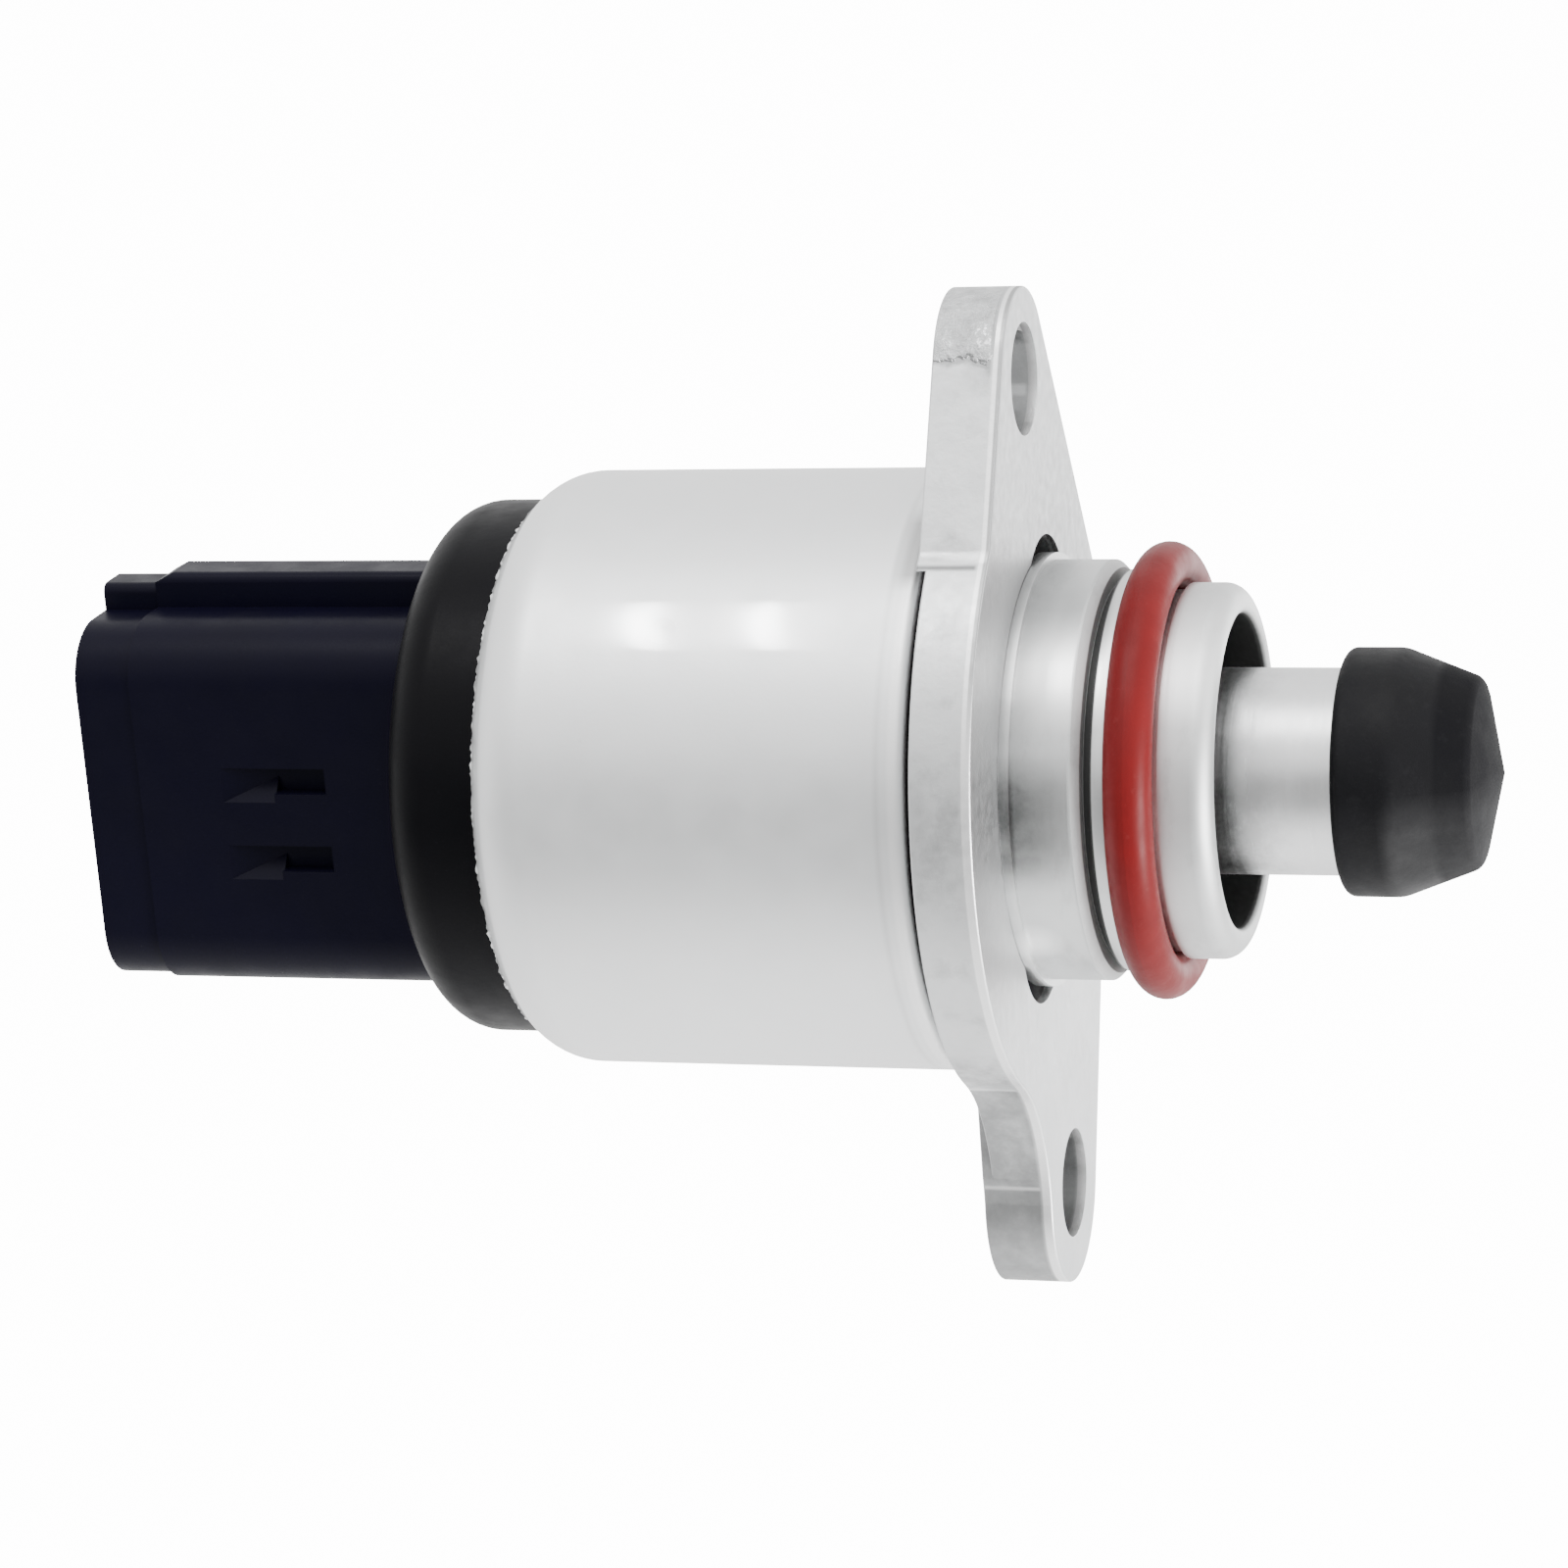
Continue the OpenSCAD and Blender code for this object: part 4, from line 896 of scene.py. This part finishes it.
def area_lamp(name, place, aim, size, power, tall=0.0):
    """A round lamp, or an oval one that is narrow along X and tall across it."""
    data = bpy.data.lights.new(name, "AREA")
    data.shape = "ELLIPSE" if tall else "DISK"
    data.size = size
    data.size_y = tall or size
    data.energy = power
    lamp = bpy.data.objects.new(name, data)
    lamp.location = place
    lamp.rotation_mode = "QUATERNION"
    facing = (Vector(place) - Vector(aim)).normalized()
    upright = facing.cross(Vector((1, 0, 0))).normalized()
    turn = Matrix((upright.cross(facing), upright, facing)).transposed()
    lamp.rotation_quaternion = turn.to_quaternion()
    lamp.visible_camera = False
    bpy.context.collection.objects.link(lamp)


def pale_world(stage):
    """A pale surround with a darker near side, which the camera sees as an even white."""
    world = bpy.data.worlds.new("pale_surround")
    world.use_nodes = True
    tree = world.node_tree

    def span(value, low, high):
        node = tree.nodes.new("ShaderNodeMapRange")
        node.interpolation_type = "SMOOTHSTEP"
        node.inputs["From Min"].default_value = low
        node.inputs["From Max"].default_value = high
        tree.links.new(value, node.inputs["Value"])
        return node.outputs["Result"]

    split = tree.nodes.new("ShaderNodeSeparateXYZ")
    tree.links.new(tree.nodes.new("ShaderNodeTexCoord").outputs["Generated"], split.inputs["Vector"])
    near = calc(tree, "MULTIPLY", span(split.outputs["Y"], *NEAR_SIDE),
                span(split.outputs["Z"], 0.5, 0.1))
    light = calc(tree, "MULTIPLY_ADD", near, stage.sky * (stage.near - 1.0), stage.sky)
    seen = tree.nodes.new("ShaderNodeLightPath").outputs["Is Camera Ray"]
    light = calc(tree, "MAXIMUM", light, calc(tree, "MULTIPLY", seen, stage.backdrop + stage.sky))
    tree.nodes["Background"].inputs["Color"].default_value = WHITE
    tree.links.new(light, tree.nodes["Background"].inputs["Strength"])
    return world


class VALVE_OT_stage(bpy.types.Operator):
    """Sets up the camera, the soft lamps and the pale floor"""
    bl_idname = "valve.stage"
    bl_label = "Stage"

    def execute(self, context):
        _, _, stage = settings()
        right, up, back = camera_axes(stage)
        place = back * stage.distance - right * stage.aside - up * stage.lower
        data = bpy.data.cameras.new("camera")
        data.lens = stage.lens
        data.sensor_width = 36.0
        data.clip_start = 0.01
        data.clip_end = 20.0
        data.dof.use_dof = False
        camera = bpy.data.objects.new("camera", data)
        turn = Matrix((right, up, back)).transposed().to_4x4()
        camera.matrix_world = Matrix.Translation(place) @ turn
        context.collection.objects.link(camera)
        context.scene.camera = camera

        context.scene.world = pale_world(stage)

        for number, station in enumerate(SPOT_STATIONS, 1):
            spot = on_can(station, SPOT_TILT)
            normal = Vector((0, spot.y, spot.z)).normalized()
            view = (place - spot).normalized()
            bounce = 2 * normal.dot(view) * normal - view
            area_lamp("spot_%d" % number, spot + bounce * SPOT_DISTANCE, spot, SPOT_WIDTH,
                      stage.key, SPOT_HEIGHT)
        for name, lamp_place, size, power in (
                ("overhead", (0.05, -0.15, 0.5), 0.35, stage.fill),
                ("beside", (0.45, -0.13, -0.12), 0.25, stage.side),
                ("behind", (0.26, 0.72, -0.12), 0.4, stage.back)):
            area_lamp(name, lamp_place, (0, 0, 0), size, power)

        bpy.ops.mesh.primitive_plane_add(size=6.0, location=(0, 0, FLOOR_LEVEL))
        floor = context.active_object
        floor.name = "floor"
        look = Look("pale_floor")
        tone = look.mix(look.grain(2.0, 3), (0.93, 0.93, 0.93), (0.95, 0.95, 0.95))
        near = look.span(look.axis("Y"), *NEAR_SIDE)
        tone = look.mix(near, tone, (stage.near,) * 3)
        seen = look.add("ShaderNodeLightPath").outputs["Is Camera Ray"]
        look.put(look.bsdf.inputs["Emission Color"], WHITE)
        look.put(look.bsdf.inputs["Emission Strength"], look.times(seen, stage.backdrop))
        floor.data.materials.append(look.finish(tone, 0.8))
        return {"FINISHED"}


class VALVE_PT_panel(bpy.types.Panel):
    """Lists the valve's settings and steps"""
    bl_label = "Idle Air Control Valve"
    bl_idname = "VALVE_PT_panel"
    bl_space_type = "VIEW_3D"
    bl_region_type = "UI"
    bl_category = "Valve"

    def draw(self, context):
        layout = self.layout
        for group in settings():
            box = layout.box()
            for name in group.bl_rna.properties.keys():
                if name not in ("rna_type", "name"):
                    box.prop(group, name)
        for step in STEPS:
            layout.operator(step.bl_idname)


STEPS = (VALVE_OT_flange, VALVE_OT_can, VALVE_OT_nose, VALVE_OT_pintle, VALVE_OT_socket,
         VALVE_OT_screw, VALVE_OT_motor, VALVE_OT_stage)
CLASSES = (ValveShape, ValveFinish, ValveStage) + STEPS + (VALVE_PT_panel,)


def register():
    for cls in CLASSES:
        bpy.utils.register_class(cls)
    bpy.types.Scene.valve_shape = PointerProperty(type=ValveShape)
    bpy.types.Scene.valve_finish = PointerProperty(type=ValveFinish)
    bpy.types.Scene.valve_stage = PointerProperty(type=ValveStage)


def unregister():
    del bpy.types.Scene.valve_stage
    del bpy.types.Scene.valve_finish
    del bpy.types.Scene.valve_shape
    for cls in reversed(CLASSES):
        bpy.utils.unregister_class(cls)


def main():
    register()
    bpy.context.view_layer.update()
    bpy.ops.valve.flange()
    bpy.ops.valve.can()
    bpy.ops.valve.nose()
    bpy.ops.valve.pintle()
    bpy.ops.valve.socket()
    bpy.ops.valve.screw()
    bpy.ops.valve.motor()
    bpy.ops.valve.stage()


if __name__ == "__main__":
    main()
